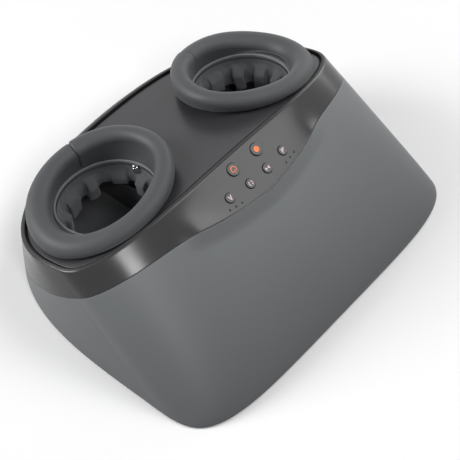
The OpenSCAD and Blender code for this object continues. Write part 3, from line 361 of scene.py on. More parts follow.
def capped_mesh(name, sections, **options):
    """A solid from rows that each go round, closed by a flat face in its first row and its last."""
    points = np.stack(sections, 1)
    count, cols = points.shape[:2]
    faces = grid_faces(count, cols, True, False)
    faces.append(tuple(j * cols for j in range(count)))
    faces.append(tuple(j * cols + cols - 1 for j in range(count))[::-1])
    return add_mesh(name, points.reshape(-1, 3), faces, **options)


def joined(parts):
    """Points and faces of several (points, faces) parts as one."""
    points, faces, start = [], [], 0
    for part_points, part_faces in parts:
        points.append(np.asarray(part_points, float))
        faces += [tuple(start + i for i in face) for face in part_faces]
        start += len(part_points)
    return np.concatenate(points), faces


def lathe(profile, sides=64):
    """A round solid from (radius, height) pairs that run from its axis to its axis."""
    angles = np.arange(sides) * 2 * pi / sides
    points = [(r * cos(a), r * sin(a), h) for a in angles for r, h in profile]
    return points, grid_faces(sides, len(profile), True, False)


def rod(radius, half, sides=64):
    """A round bar on the Z axis, from -half to half."""
    return lathe([(0, -half), (radius, -half), (radius, half), (0, half)], sides)


def prism(outline, low, high):
    """An upright solid over a flat outline."""
    n = len(outline)
    points = [(x, y, z) for z in (low, high) for x, y in outline]
    sides = [(i, (i + 1) % n, n + (i + 1) % n, n + i) for i in range(n)]
    return points, [tuple(range(n))[::-1], tuple(range(n, 2 * n)), *sides]


def cut(piece, cutter, sharp=40):
    """Takes the cutter's shape out of the piece for good."""
    modifier = piece.modifiers.new("cut", "BOOLEAN")
    modifier.object = cutter
    modifier.solver = "EXACT"
    scene_now = bpy.context.evaluated_depsgraph_get()
    mesh = bpy.data.meshes.new_from_object(piece.evaluated_get(scene_now))
    piece.modifiers.clear()
    piece.data = mesh
    bpy.data.objects.remove(cutter)
    smooth(piece, sharp)


def dress(piece, body, slot, *nodes):
    """Gives a piece its finish and its body, and hides the CAD nodes that it stands for."""
    piece.data.materials.clear()
    piece.data.materials.append(finish(slot))
    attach(piece, body)
    if nodes:
        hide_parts(*nodes)
    return piece


# Finishes

# The wave texture turns by this many radians over one unit of its scaled place
WAVE_TURN = 20
# Height above which the lower housing has no painted shade, so its lighter colour shows in full
PAINTED_SHADE_TOP = 125


class Nodes:
    """A material's nodes, wired by short calls."""

    def __init__(self, name):
        self.material = bpy.data.materials.new(name)
        self.material.use_nodes = True
        self.tree = self.material.node_tree
        self.shader = self.tree.nodes["Principled BSDF"]
        self.place = self.add("ShaderNodeTexCoord").outputs["Object"]

    def add(self, kind, **inputs):
        node = self.tree.nodes.new(kind)
        for key, value in inputs.items():
            socket = node.inputs[key.replace("_", " ")]
            if isinstance(value, bpy.types.NodeSocket):
                self.tree.links.new(value, socket)
            else:
                socket.default_value = value
        return node

    def noise(self, grain, detail=3, stretch=(1, 1, 1)):
        """Noise whose features are about grain millimetres wide, times stretch."""
        scale = [1 / (grain * METRE * s) for s in stretch]
        mapped = self.add("ShaderNodeMapping", Vector=self.place, Scale=scale).outputs[0]
        return self.add("ShaderNodeTexNoise", Vector=mapped, Scale=1, Detail=detail).outputs["Fac"]

    def bands(self, pitch, direction):
        """Even ridges, 2 pi times pitch millimetres apart."""
        scale = 1 / (pitch * METRE) / WAVE_TURN
        wave = self.add("ShaderNodeTexWave", Vector=self.place, Scale=scale, Distortion=0.6)
        wave.inputs["Detail Scale"].default_value = 3
        wave.bands_direction = direction
        return wave.outputs["Fac"]

    def between(self, share, low, high):
        return self.add("ShaderNodeMapRange", Value=share, To_Min=low, To_Max=high).outputs[0]

    def set(self, **values):
        for key, value in values.items():
            self.shader.inputs[key.replace("_", " ")].default_value = value

    def colour(self, share, dark, light):
        mix = self.tree.nodes.new("ShaderNodeMix")
        mix.data_type = "RGBA"
        self.tree.links.new(share, mix.inputs["Factor"])
        mix.inputs["A"].default_value = (*dark, 1)
        mix.inputs["B"].default_value = (*light, 1)
        self.tree.links.new(mix.outputs["Result"], self.shader.inputs["Base Color"])

    def rough(self, share, low, high):
        self.tree.links.new(self.between(share, low, high), self.shader.inputs["Roughness"])

    def bump(self, *heights, strength=0.3):
        """Relief from (share, depth in millimetres) pairs, one on top of the other."""
        normal = None
        for share, depth in heights:
            node = self.add("ShaderNodeBump", Strength=strength, Distance=depth * METRE, Height=share)
            if normal is not None:
                self.tree.links.new(normal, node.inputs["Normal"])
            normal = node.outputs[0]
        self.tree.links.new(normal, self.shader.inputs["Normal"])


def shaded(colour, share):
    return tuple(min(1, c * share) for c in colour)


def moulded(slot, colour, roughness, grain=0.6, relief=0.05, spread=0.05, **values):
    """Moulded plastic or rubber: a fine grain, and a finish that varies a little over the part."""
    m = Nodes(slot)
    m.colour(m.noise(60), shaded(colour, 1 - spread), shaded(colour, 1 + spread))
    m.rough(m.noise(25), roughness - 0.03, roughness + 0.04)
    m.bump((m.noise(grain), relief))
    m.set(**values)
    return m.material


def satin_shell(slot, dark, light):
    """The lower housing's satin moulding with painted shade: a shade deeper in colour towards the floor,
    for the light that falls off down the front.
    """
    m = Nodes(slot)
    # Painted shade: the colour runs from the darker one at the floor to the lighter one higher up
    height = m.add("ShaderNodeSeparateXYZ", Vector=m.place).outputs["Z"]
    share = m.add("ShaderNodeMapRange", Value=height, From_Max=PAINTED_SHADE_TOP * METRE).outputs[0]
    m.colour(share, dark, light)
    m.rough(m.noise(25), 0.39, 0.46)
    m.bump((m.noise(0.5), 0.035))
    m.set(Specular_IOR_Level=0.4)
    return m.material


def metal(slot, colour, roughness, stretch=(1, 1, 1)):
    """Bare or plated metal with fine drawn lines."""
    m = Nodes(slot)
    lines = m.noise(0.25, 2, stretch)
    m.colour(m.noise(20), shaded(colour, 0.88), shaded(colour, 1.06))
    m.rough(lines, roughness - 0.06, roughness + 0.1)
    m.bump((lines, 0.02))
    m.set(Metallic=1.0)
    return m.material


def woven(slot, colour, thread, sheen=0.25):
    """Thin plain-woven cloth with a soft sheen."""
    m = Nodes(slot)
    m.colour(m.noise(9), shaded(colour, 0.86), shaded(colour, 1.12))
    m.rough(m.noise(4), 0.82, 0.95)
    m.bump((m.bands(thread, "X"), 0.12), (m.bands(thread, "Z"), 0.12), (m.noise(6), 0.6))
    m.set(Sheen_Weight=sheen, Sheen_Roughness=0.5)
    return m.material


def coated(slot, colour):
    """Smooth coated cloth over foam: a fine pebble grain and a soft broad gloss."""
    m = Nodes(slot)
    m.colour(m.noise(35), shaded(colour, 0.94), shaded(colour, 1.06))
    m.rough(m.noise(12), 0.5, 0.6)
    m.bump((m.noise(0.9, 2), 0.06), (m.noise(14), 0.5))
    m.set(Sheen_Weight=0.1, Sheen_Roughness=0.45, Specular_IOR_Level=0.4)
    return m.material


FINISHES = {
    # The shell's two colours hold painted shade: the first, darker, at the floor, the second, lighter, at
    # the top
    "shell_satin": lambda s: satin_shell(s, (0.1, 0.106, 0.111), (0.152, 0.161, 0.167)),
    "band_gloss": lambda s: moulded(s, (0.0165,) * 3, 0.2, 4, 0.02, 0.02, Specular_IOR_Level=0.45),
    "deck_satin": lambda s: moulded(s, (0.034, 0.034, 0.038), 0.3, 0.8, 0.03, Specular_IOR_Level=0.4),
    "base_black": lambda s: moulded(s, (0.02, 0.02, 0.022), 0.6),
    "collar_black": lambda s: moulded(s, (0.012, 0.012, 0.013), 0.55),
    "ring_leather": lambda s: coated(s, (0.053, 0.0555, 0.06)),
    "liner_cloth": lambda s: woven(s, (0.085, 0.088, 0.094), 0.7),
    # The hem's colour is partly its own lighter cloth and partly painted light, for the light its
    # upturned edge catches
    "hem_cloth": lambda s: woven(s, (0.17, 0.174, 0.182), 0.7),
    "zip_coil": lambda s: moulded(s, (0.06, 0.062, 0.067), 0.5),
    "zip_metal": lambda s: metal(s, (0.72, 0.72, 0.74), 0.22),
    "foot_rubber": lambda s: moulded(s, (0.01, 0.01, 0.01), 0.8, 0.8, 0.1),
    "screw_steel": lambda s: metal(s, (0.55, 0.55, 0.56), 0.3),
    "tray_black": lambda s: moulded(s, (0.07, 0.072, 0.078), 0.6),
    "bag_rubber": lambda s: woven(s, (0.045, 0.045, 0.05), 0.5, 0.1),
    "button_dark": lambda s: moulded(s, (0.03, 0.028, 0.028), 0.28, 3, 0.02),
    "indicator_dark": lambda s: moulded(s, (0.004, 0.004, 0.004), 0.3, 2, 0.01),
    "board_green": lambda s: moulded(s, (0.012, 0.075, 0.03), 0.35, 5, 0.03, 0.15),
    "switch_black": lambda s: moulded(s, (0.012, 0.012, 0.012), 0.5),
    "ribbon_grey": lambda s: moulded(s, (0.35, 0.35, 0.36), 0.5, 1.2, 0.1),
    "chip_black": lambda s: moulded(s, (0.015, 0.015, 0.02), 0.45),
    "inlet_black": lambda s: moulded(s, (0.01, 0.01, 0.01), 0.5),
    "pin_steel": lambda s: metal(s, (0.65, 0.65, 0.66), 0.2),
    "wire_black": lambda s: moulded(s, (0.012, 0.012, 0.012), 0.45),
    "wire_red": lambda s: moulded(s, (0.32, 0.012, 0.012), 0.45),
    "shaft_steel": lambda s: metal(s, (0.56, 0.56, 0.57), 0.24, (0.2, 6, 6)),
    "wheel_grey": lambda s: moulded(s, (0.14, 0.14, 0.15), 0.62, 0.8, 0.08),
    "bearing_ivory": lambda s: moulded(s, (0.6, 0.57, 0.49), 0.42),
    "gear_ivory": lambda s: moulded(s, (0.64, 0.61, 0.52), 0.4),
    "pulley_black": lambda s: moulded(s, (0.02, 0.02, 0.02), 0.5),
    "belt_rubber": lambda s: moulded(s, (0.014, 0.014, 0.014), 0.7, 0.6, 0.1),
    "pinion_brass": lambda s: metal(s, (0.65, 0.46, 0.17), 0.26),
    "gearhead_alu": lambda s: metal(s, (0.5, 0.5, 0.51), 0.42),
    "motor_steel": lambda s: metal(s, (0.42, 0.42, 0.43), 0.34, (6, 1, 1)),
    "bracket_steel": lambda s: metal(s, (0.45, 0.45, 0.45), 0.36),
    "pump_black": lambda s: moulded(s, (0.017, 0.017, 0.019), 0.5),
    "valve_white": lambda s: moulded(s, (0.6, 0.6, 0.61), 0.45),
    "hose_clear": lambda s: moulded(s, (0.5, 0.51, 0.53), 0.3, 3, 0.02, Transmission_Weight=0.5),
}
made_finishes = {}


def finish(slot):
    if slot not in made_finishes:
        made_finishes[slot] = FINISHES[slot](slot)
    return made_finishes[slot]


def printed(name, colour):
    """A pad-printed sign on a key."""
    return moulded(name, colour, 0.4, 1.5, 0.02, 0.04)


# Housing

AROUND = 72
TONGUE = 1.8
TONGUE_IN = 1.2
SEAL_START = 1.3
SEAL_T = 0.25
SEAL_GAP = 0.03
DECK_HOLE_GAP = 0.6
DECK_HOLE_SIDES = 128
DECK_CUT_REACH = 60
KEY_CUT_REACH = 8
REBATE_GAP = 0.4
INLET_GAP = 0.3
INLET_U = 0.35
INLET_CUT_DEPTH = 20


def crowded_angles():
    """Angles round a squarish outline, closer together where its corners need them."""
    quarter = ease(np.arange(AROUND) / AROUND)
    return np.concatenate([(q + quarter) * pi / 2 for q in range(4)])


# Angles round the housing, and how far up the skin its seam and its crease lie at each
T = crowded_angles()
SEAM = seam_u(T)
CREASE = crease_of(SEAM)


def rows_up(start, end, count, inset=0):
    """Rows of the skin at even steps of u from start to end, which may change round the housing."""
    return [skin(T, start + (end - start) * k / count, SEAM, inset) for k in range(count + 1)]


def lower_housing():
    """The lower shell: foot, skin up to the seam, the tongue above it, and the wall's inside."""
    top = seam_u(T, -SEAM_GAP / 2)
    tongue_top = seam_u(T, TONGUE)
    foot, foot_in = skin(T, 0 * T, SEAM), skin(T, 0 * T, SEAM, WALL)
    outside = [*rows_up(0.02, CREASE * 0.9, 22), *rows_up(CREASE * 0.92, top, 16)]
    edge_in = skin(T, top, SEAM, TONGUE_IN)
    inside = rows_up(tongue_top, 0, 12, WALL)
    return dress(
        loop_mesh("lower_shell", [
            *rounded(foot_in, foot, outside[0], 1),
            *outside[:-1],
            *rounded(outside[-2], outside[-1], edge_in, 0.5),
            edge_in,
            skin(T, tongue_top, SEAM, TONGUE_IN),
            *inside,
        ]),
        "housing", "shell_satin", "lower_housing",
    )


def key_cutters():
    """Rods through every key and indicator, to cut their openings."""
    parts = []
    for x, y, d in KEYS.values():
        points, faces = rod(d / 2 + KEY_GAP, KEY_CUT_REACH)
        parts.append((on_panel(points, x, y), faces))
    for x, y in light_places():
        points, faces = rod(LIGHT_D / 2 + LIGHT_GAP, KEY_CUT_REACH, LIGHT_SIDES)
        parts.append((on_panel(points, x, y), faces))
    return add_mesh("cutters", *joined(parts))


def inlet_cutter(room, start):
    """A block behind the inlet's place, with some room round the inlet."""
    half_w, half_h = INLET_W / 2 + room, INLET_H / 2 + room
    corners = [(half_w * a, half_h * b) for a, b in ((-1, -1), (1, -1), (1, 1), (-1, 1))]
    points, faces = prism(corners, start, BASE_MID_Y + BASE_BACK + 10)
    return add_mesh("inlet_cutter", [(x, y, z + INLET_Z) for x, z, y in points], faces)


def upper_cover():
    """The cover from the seam to the lip, with the deck's ledge and its openings."""
    low = seam_u(T, SEAM_GAP / 2)
    rebate = seam_u(T, TONGUE + REBATE_GAP)
    ledge = below_rim_u(T, LEDGE_DROP + 4)
    outside = [*rows_up(low, 0.9 + 0.1 * low, 26), skin(T, 0 * T + 1, SEAM)]
    lip_in, groove = on_rim(T, LIP_W, 0), on_rim(T, LIP_W, LEDGE_DROP)
    cover = loop_mesh("cover_shell", [
        *rounded(skin(T, low, SEAM, 1), outside[0], outside[1], 0.5),
        *outside[1:-1],
        *rounded(outside[-2], outside[-1], lip_in, 1.6, 6),
        *rounded(outside[-1], lip_in, groove, 0.7),
        groove,
        on_rim(T, LIP_W + LEDGE_W, LEDGE_DROP),
        on_rim(T, LIP_W + LEDGE_W, LEDGE_DROP + LEDGE_T),
        *rows_up(ledge, rebate, 6, WALL),
        skin(T, rebate, SEAM, 1),
        skin(T, low, SEAM, 1),
    ])
    inlet_y = bare_skin(np.array([pi / 2]), INLET_U)[0, 1]
    cut(cover, key_cutters())
    cut(cover, inlet_cutter(INLET_GAP, inlet_y - INLET_CUT_DEPTH))
    cut(cover, inlet_cutter(INLET_LIP + INLET_GAP, inlet_y + 0.1))
    return dress(cover, "housing", "band_gloss", "upper_cover")


def groove_seal():
    """The matt seal that lines the lip's top and the groove round the deck."""
    wall, under = LIP_W + SEAL_T, LIP_W + SEAL_GAP
    floor_in, floor_down = LIP_W + GROOVE_W - 0.3, LEDGE_DROP - SEAL_T
    section = [
        (SEAL_START, -0.02), (SEAL_START + 0.3, -SEAL_T),
        (LIP_W - 0.4, -SEAL_T), (LIP_W + 0.1, 0.05 - SEAL_T / 2), (wall, 0.6),
        (wall, floor_down), (floor_in, floor_down),
        (floor_in, LEDGE_DROP - SEAL_GAP), (under, LEDGE_DROP - SEAL_GAP),
        (under, 0.75), (LIP_W - 0.75, -0.02),
    ]
    seal = loop_mesh("groove_seal", [on_rim(T, inset, down) for inset, down in section], sharp=35)
    dress(seal, "housing", "collar_black")


def deck_row(share, down):
    """A row round the deck at a share of its reach, some way below the rim's surface."""
    x, y = rim_plan(T, LIP_W + GROOVE_W)
    x, y = x * share, RIM_MID_Y + (y - RIM_MID_Y) * share
    return np.stack([x, y, rim_z(x, y) - down], -1)


def deck_plate():
    """The deck, with a hole for each collar."""
    shares = np.linspace(0.02, 0.97, 30)
    top_edge, low_edge = deck_row(1, DECK_RECESS), deck_row(1, DECK_RECESS + DECK_T)
    top = [deck_row(s, DECK_RECESS) for s in shares]
    low = [deck_row(s, DECK_RECESS + DECK_T) for s in shares[::-1]]
    edge = rounded(top[-1], top_edge, low_edge, 0.8)
    deck = capped_mesh("deck_panel", [*top, *edge, low_edge, *low])
    rods = []
    for side in SIDES.values():
        points, rod_faces = rod(COLLAR_R + DECK_HOLE_GAP, DECK_CUT_REACH, DECK_HOLE_SIDES)
        rods.append((in_collar(points, side), rod_faces))
    cut(deck, add_mesh("deck_cutters", *joined(rods)))
    return dress(deck, "housing", "deck_satin", "deck_plate")


# Panel


def on_panel(points, x, y):
    """Points over a place of the panel, with their own Z square to it."""
    p = np.asarray(points, float)
    across = np.array([0, cos(PANEL_ANGLE), sin(PANEL_ANGLE)])
    out = np.array([0, -sin(PANEL_ANGLE), cos(PANEL_ANGLE)])
    return skin_at(x, y) + p[:, :1] * [1, 0, 0] + p[:, 1:2] * across + p[:, 2:] * out


def light_places():
    """Three places in a slightly turned row under each outer key."""
    across, along = LIGHT_PITCH * cos(LIGHT_TURN), LIGHT_PITCH * sin(LIGHT_TURN)
    return [
        (side * (LIGHT_X + k * across), LIGHT_Y + k * along)
        for side in SIDES.values()
        for k in (-1, 0, 1)
    ]


def arc(radius, width, start, end, steps=24):
    """A flat bent stroke; angles in degrees."""
    angles = np.radians(np.linspace(start, end, steps))
    outer, inner = radius + width / 2, radius - width / 2
    there = [(outer * cos(a), outer * sin(a)) for a in angles]
    back = [(inner * cos(a), inner * sin(a)) for a in angles[::-1]]
    return there + back


def stroke(a, b, width):
    """A flat straight stroke between two points."""
    a, b = np.array(a, float), np.array(b, float)
    side = unit(b - a)[::-1] * [-width / 2, width / 2]
    return [a + side, b + side, b - side, a - side]


def arrow_head(tip, back, width):
    """A flat triangle from its back's middle to its tip."""
    tip, back = np.array(tip, float), np.array(back, float)
    side = unit(tip - back)[::-1] * [-width / 2, width / 2]
    return [tip, back + side, back - side]


def power_sign():
    return [arc(3.3, 0.95, 125, 415), stroke((0, 0.9), (0, 4.3), 0.95)]


def disc_sign():
    return [[(3.4 * cos(a), 3.4 * sin(a)) for a in np.arange(40) * pi / 20]]


def letter_sign():
    legs = [stroke((x, -2.7), (0, 2.9), 0.95) for x in (-2.1, 2.1)]
    return [*legs, stroke((-1.4, -0.9), (1.4, -0.9), 0.8)]


def turning_sign():
    heads = [arrow_head((1.1, -2.75), (1.7, -0.9), 2.2), arrow_head((-1.1, 2.75), (-1.7, 0.9), 2.2)]
    return [arc(2.5, 0.9, -20, 65), arc(2.5, 0.9, 160, 245), *heads]


def facing_sign():
    return [arrow_head((-0.25, 0), (-2.9, 0), 4.4), arrow_head((0.25, 0), (2.9, 0), 4.4)]


def rising_sign():
    low, pitch = -2.6, 1.35
    bars = [(pitch * k - 2.05, h) for k, h in enumerate((1.6, 2.9, 4.2, 5.5))]
    return [stroke((x, low), (x, low + h), 0.9) for x, h in bars]


SIGNS = {
    "on_off": power_sign,
    "stop": disc_sign,
    "auto": letter_sign,
    "roller": turning_sign,
    "air": facing_sign,
    "intensity": rising_sign,
}
FLANGE_TOP = 5
FLANGE_T = 1.2
FLANGE_OUT = 1.2
STEM_R = 1.7
STEM_END = 8.2
CAP_EDGE = 0.7
DISH = 0.25
SIGN_SINK = 0.2
SIGN_PROUD = 0.04
SIGN_STEP = 0.005


def key_profile(d):
    """Half section of a key: a stem, a flange that keeps it in, and a dished cap with a round edge."""
    r, edge = d / 2, CAP_EDGE
    angles = np.radians([90, 70, 50, 30, 10])
    bend = [(r - edge + edge * sin(a), CAP_PROUD - edge + edge * cos(a)) for a in angles]
    dish = [((r - edge) * s, CAP_PROUD - DISH * (1 - s**2)) for s in (0.95, 0.8, 0.6, 0.4, 0.2, 0)]
    flange_r, flange_low = r + FLANGE_OUT, -FLANGE_TOP - FLANGE_T
    stem = [(0, -STEM_END), (STEM_R, -STEM_END), (STEM_R, flange_low)]
    flange = [(flange_r, flange_low), (flange_r, -FLANGE_TOP), (r, -FLANGE_TOP)]
    return [*stem, *flange, *bend, *dish]


def keys(orange, pale):
    """The six keys with their signs, which read from the user's side."""
    for name, (x, y, d) in KEYS.items():
        points, faces = lathe(key_profile(d))
        cap = add_mesh(f"key_{name}_cap", on_panel(points, x, y), faces)
        dress(cap, f"key_{name}", "button_dark", f"button_{name}")
        level = CAP_PROUD - DISH
        top = level + SIGN_PROUD + DISH * 0.5
        shapes = []
        for k, outline in enumerate(SIGNS[name]()):
            turned = [(-px, -py) for px, py in outline]
            shapes.append(prism(turned, level - SIGN_SINK, top + SIGN_STEP * k))
        points, faces = joined(shapes)
        sign = add_mesh(f"key_{name}_sign", on_panel(points, x, y), faces, sharp=30)
        sign.data.materials.append(orange if d == LARGE_D else pale)
        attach(sign, f"key_{name}")


def indicators():
    """The six indicators' lenses, as one piece."""
    parts = []
    r = LIGHT_D / 2
    for x, y in light_places():
        lens = [(0, -6), (r, -6), (r, -0.35), (r * 0.75, -0.1), (r * 0.4, 0), (0, 0.05)]
        points, faces = lathe(lens, LIGHT_SIDES)
        parts.append((on_panel(points, x, y), faces))
    lights = add_mesh("indicator_lenses", *joined(parts))
    return dress(lights, "housing", "indicator_dark", "indicator_lights")


# Ankle rings

RING = ((RING_X, RING_Y, rim_z(RING_X, RING_Y) + RING_LIFT), RING_OUT, RING_BACK)
COLLAR = ((COLLAR_X, RING_Y, RING[0][2] - COLLAR_DROP), COLLAR_OUT, COLLAR_BACK)


def leaning(plane, u, v, w, side):
    """A place on a leaning plane, w square to it, as a place of the object."""
    (mid_x, mid_y, mid_z), out, back = plane
    x = u * cos(out) + w * sin(out)
    rise = w * cos(out) - u * sin(out)
    y = v * cos(back) + rise * sin(back)
    z = rise * cos(back) - v * sin(back)
    return np.stack([side * (mid_x + x), mid_y + y, mid_z + z], -1)


def collar_point(u, v, w, side):
    return leaning(COLLAR, u, v, w, side)


def collar_circle(a, r, w, side):
    """Points round the collar's axis at the angles a, at radius r and height w."""
    return collar_point(r * np.cos(a), r * np.sin(a), w + 0 * a, side)


def in_collar(points, side):
    p = np.asarray(points, float)
    return collar_point(p[:, 0], p[:, 1], p[:, 2], side)


RING_STEPS = 260
TOP_ANGLES = np.radians(np.linspace(180, -38, 36))
FUNNEL_ROWS = 16
SKIRT_ROWS = 9
SKIRT_OUT = 0.84
FOOT_OUT = 0.66
FOOT_MORE = 0.26
TUCK_IN = 7
ON_DECK = 0.4
PAD_GAP = 2.6
PAD_RISE = 7
PAD_RISE_AT = radians(150)
SEAM_GROOVE = 1.3
SEAM_STEP = 0.5
SEAM_HALF_WIDTH = radians(0.9)
SEAM_STEP_FADE = 0.25
SEAM_CROWD = 0.9
FUNNEL_PULL = 0.55
HELD_ROWS = 5


def bed_z(q, over_deck):
    """The height a pad stays above: a little over the deck, and over the lip near its edge."""
    inset = LIP_W + GROOVE_W
    x, y = q[..., 0], q[..., 1]
    reach = np.where(y < RIM_MID_Y, RIM_FRONT, RIM_BACK) - inset
    across, along = np.abs(x) / (RIM_HALF - inset), np.abs(y - RIM_MID_Y) / reach
    near_edge = ease((across**RIM_N + along**RIM_N - 0.72) / 0.2)
    return rim_z(x, y) + near_edge * 0.6 + (1 - near_edge) * (over_deck - DECK_RECESS)


def curve(start, pull, end, count):
    """Rows along a bent line from start to end, drawn towards pull."""
    return [(1 - s) ** 2 * start + 2 * s * (1 - s) * pull + s * s * end for s in np.linspace(0, 1, count)]


def ring_sections(a, side):
    """Rows of the pad's section: round top, skirt and tuck outside, flat seat, and a funnel inside."""
    r = RING_TUBE + RING_SWELL * np.cos(a)

    def tube(out, up):
        up = up - RING_SADDLE * np.cos(2 * a)
        return leaning(RING, (RING_RX + out) * np.cos(a), (RING_RY + out) * np.sin(a), up, side)

    def flat(q, over_deck):
        return np.stack([q[..., 0], q[..., 1], bed_z(q, over_deck)], -1)

    def kept_up(q):
        low = bed_z(q, PAD_GAP)
        return np.stack([q[..., 0], q[..., 1], low + soft(q[..., 2] - low, 1)], -1)

    top = [kept_up(tube(r * cos(p), r * sin(p))) for p in TOP_ANGLES]
    foot = r * (FOOT_OUT + FOOT_MORE * np.sin(a) ** 2)
    gap = PAD_GAP + PAD_RISE * ease(np.cos(a - PAD_RISE_AT))
    skirt_end = flat(tube(foot, 0), gap)
    skirt = curve(top[-1], flat(tube(r * SKIRT_OUT, 0), gap + 1), skirt_end, SKIRT_ROWS)[1:]
    tuck = [flat(tube(foot - 1.2, 0), gap - 0.9), flat(tube(foot - TUCK_IN, 0), ON_DECK)]
    seat = flat(collar_circle(a, COLLAR_R + 1, -RING_SEAT, side), ON_DECK)
    throat = collar_circle(a, THROAT_R - 0.1, -RING_SEAT + 0.1, side)
    hem = collar_circle(a, HEM_R - 0.35, -HEM_TOP + 0.45, side)
    inner = tube(-r, 0)
    below = inner - np.array([0, 0, 1]) * np.maximum(2, (inner - hem)[..., 2:] * FUNNEL_PULL)
    funnel = curve(hem, below, top[0], FUNNEL_ROWS)[:-1]
    return [*funnel, *top, *skirt, *tuck, seat, throat]


def ring_cushion(name, side):
    """The padded ring, with its two ends butted together at one seam."""
    turn = np.arange(RING_STEPS) * 2 * pi / RING_STEPS
    off = turn - SEAM_CROWD * np.sin(turn)
    a = RING_SEAM + off
    off = np.where(off > pi, off - 2 * pi, off)
    q = np.stack(ring_sections(a, side), 1)
    rows, cols = q.shape[:2]
    along = np.roll(q, -1, 0) - np.roll(q, 1, 0)
    across = np.roll(q, -1, 1) - np.roll(q, 1, 1)
    normal = unit(np.cross(along, across))
    crest = FUNNEL_ROWS + len(TOP_ANGLES) // 2 - 2
    normal *= np.sign(normal[:, crest, 2])[:, None, None]
    groove = SEAM_GROOVE * np.exp(-((off / SEAM_HALF_WIDTH) ** 2))
    step = SEAM_STEP * np.sign(off) * np.exp(-np.abs(off) / SEAM_STEP_FADE)
    s = np.arange(cols) / cols * 2 * pi
    waver = 0.3 * np.sin(3 * a[:, None] + 0.6) * np.sin(s) + 0.25 * np.cos(5 * a[:, None] + 2 * s)
    row = np.arange(cols)
    loose = ease(np.minimum(row, cols - HELD_ROWS - row) / HELD_ROWS)
    q = q + normal * ((step - groove)[:, None] + waver)[..., None] * loose[None, :, None]
    ring = add_mesh(f"ring_pad_{name}", q.reshape(-1, 3), grid_faces(rows, cols), sharp=80)
    dress(ring, "housing", "ring_leather", f"ring_cushion_{name}")


# Liner and zip

LINER_AROUND = 600
LINER_DOWN = 44
HEM_AROUND = 240
HEM_LAP = 2
LOOP_START = 3
LOOP_GROWTH = 13
CRUMPLE = 0.5
SHIFT_START = 26
SHIFT_GROWTH = 15
SHOWN_CLOTH_T = 0.9
PIPE_R = 1.1
ZIP_TEETH = 220
TAPE_T = 0.5


def loop_shapes():
    """How deep each loop of the gathered cloth is, and the angles where the loops start and end."""
    k = np.arange(LOOPS)
    depth = LOOP_DEPTH * (0.25 + 0.75 * np.abs(np.sin(1.3 * k + 0.9)))
    width = 1.6 - 0.75 * depth / LOOP_DEPTH + 0.25 * np.sin(3.1 * k)
    return depth, np.concatenate([[0], np.cumsum(width)]) * 2 * pi / np.sum(width)


def gathered(a):
    """How far the cloth's loops stand in at an angle, and how far round their necks are drawn."""
    depth, ends = loop_shapes()
    k = np.clip(np.searchsorted(ends, a, side="right") - 1, 0, LOOPS - 1)
    half = (ends[k + 1] - ends[k]) / 2
    t = (a - ends[k]) / half - 1
    return depth[k] * (0.5 + 0.5 * np.cos(pi * t)) ** 0.8, half * LOOP_NECK * np.sin(2 * pi * t)


def liner(name, side):
    """The gathered cloth that hangs in a ring in round loops, with a scalloped lower edge."""
    a = (np.arange(LINER_AROUND) * 2 * pi / LINER_AROUND)[:, None]
    s = np.linspace(0, 1, LINER_DOWN)[None, :]
    loop, neck = gathered(a)
    sway = HANG_SWAY * np.cos(2 * (a - LONGEST[name])) + 1.2 * np.sin(5 * a + 1)
    length = HANG + sway + HANG_LOOP * loop / LOOP_DEPTH
    start = HEM_H - HEM_LAP
    d = start + s * (length - start)
    grown = ease((d - HEM_H - LOOP_START) / LOOP_GROWTH)
    ripple = np.sin(23 * a + 0.16 * d + 1) * np.sin(0.21 * d + 5 * a)
    crumple = CRUMPLE * ripple * ease((d - HEM_H) / 6)
    r = HEM_R - CLOTH_T - 0.6 - grown * (GATHER_IN + loop) + crumple
    lean = 0.022 * np.sin(7 * a + 0.12 * d) + 0.05 * np.sin(3 * a) * loop / LOOP_DEPTH
    swing = (neck + lean) * grown
    shift = CUFF_SHIFT * ease((d - SHIFT_START) / SHIFT_GROWTH)
    q = collar_point(r * np.cos(a + swing) + shift, r * np.sin(a + swing), -HEM_TOP - d + 0 * a, side)
    rows, cols = q.shape[:2]
    cloth = add_mesh(f"liner_{name}", q.reshape(-1, 3), grid_faces(rows, cols, True, False), sharp=180)
    thick = cloth.modifiers.new("cloth", "SOLIDIFY")
    thick.thickness = SHOWN_CLOTH_T * METRE
    thick.offset = 0
    dress(cloth, "housing", "liner_cloth", f"liner_cuff_{name}")
    band = hem_band(name, side)


def hem_band(name, side):
    """The doubled hem with its piping, and two shallow grooves inside for its stitching."""
    a = np.arange(HEM_AROUND) * 2 * pi / HEM_AROUND
    angles = np.radians(np.arange(20, 200, 20))
    pipe = [(HEM_R - PIPE_R + PIPE_R * cos(p), 0.2 - PIPE_R * sin(p)) for p in angles]
    inner = HEM_R - CLOTH_T - 0.4
    section = [
        (HEM_R, HEM_H), (HEM_R, 0.8), *pipe,
        (inner, 1.2), (inner + 0.25, 2), (inner - 0.1, HEM_H * 0.5),
        (inner + 0.2, HEM_H - 1.4), (inner, HEM_H - 0.7), (inner + 0.5, HEM_H + 0.2),
    ]
    rows = [collar_circle(a, r, -HEM_TOP - down, side) for r, down in section]
    band = loop_mesh(f"hem_band_{name}", rows, sharp=60)
    dress(band, "housing", "liner_cloth")
    # The hem's lighter cloth is partly its own colour and partly painted light, standing in for the light
    # the upturned hem catches
    band.data.materials[0] = finish("hem_cloth")
    return band


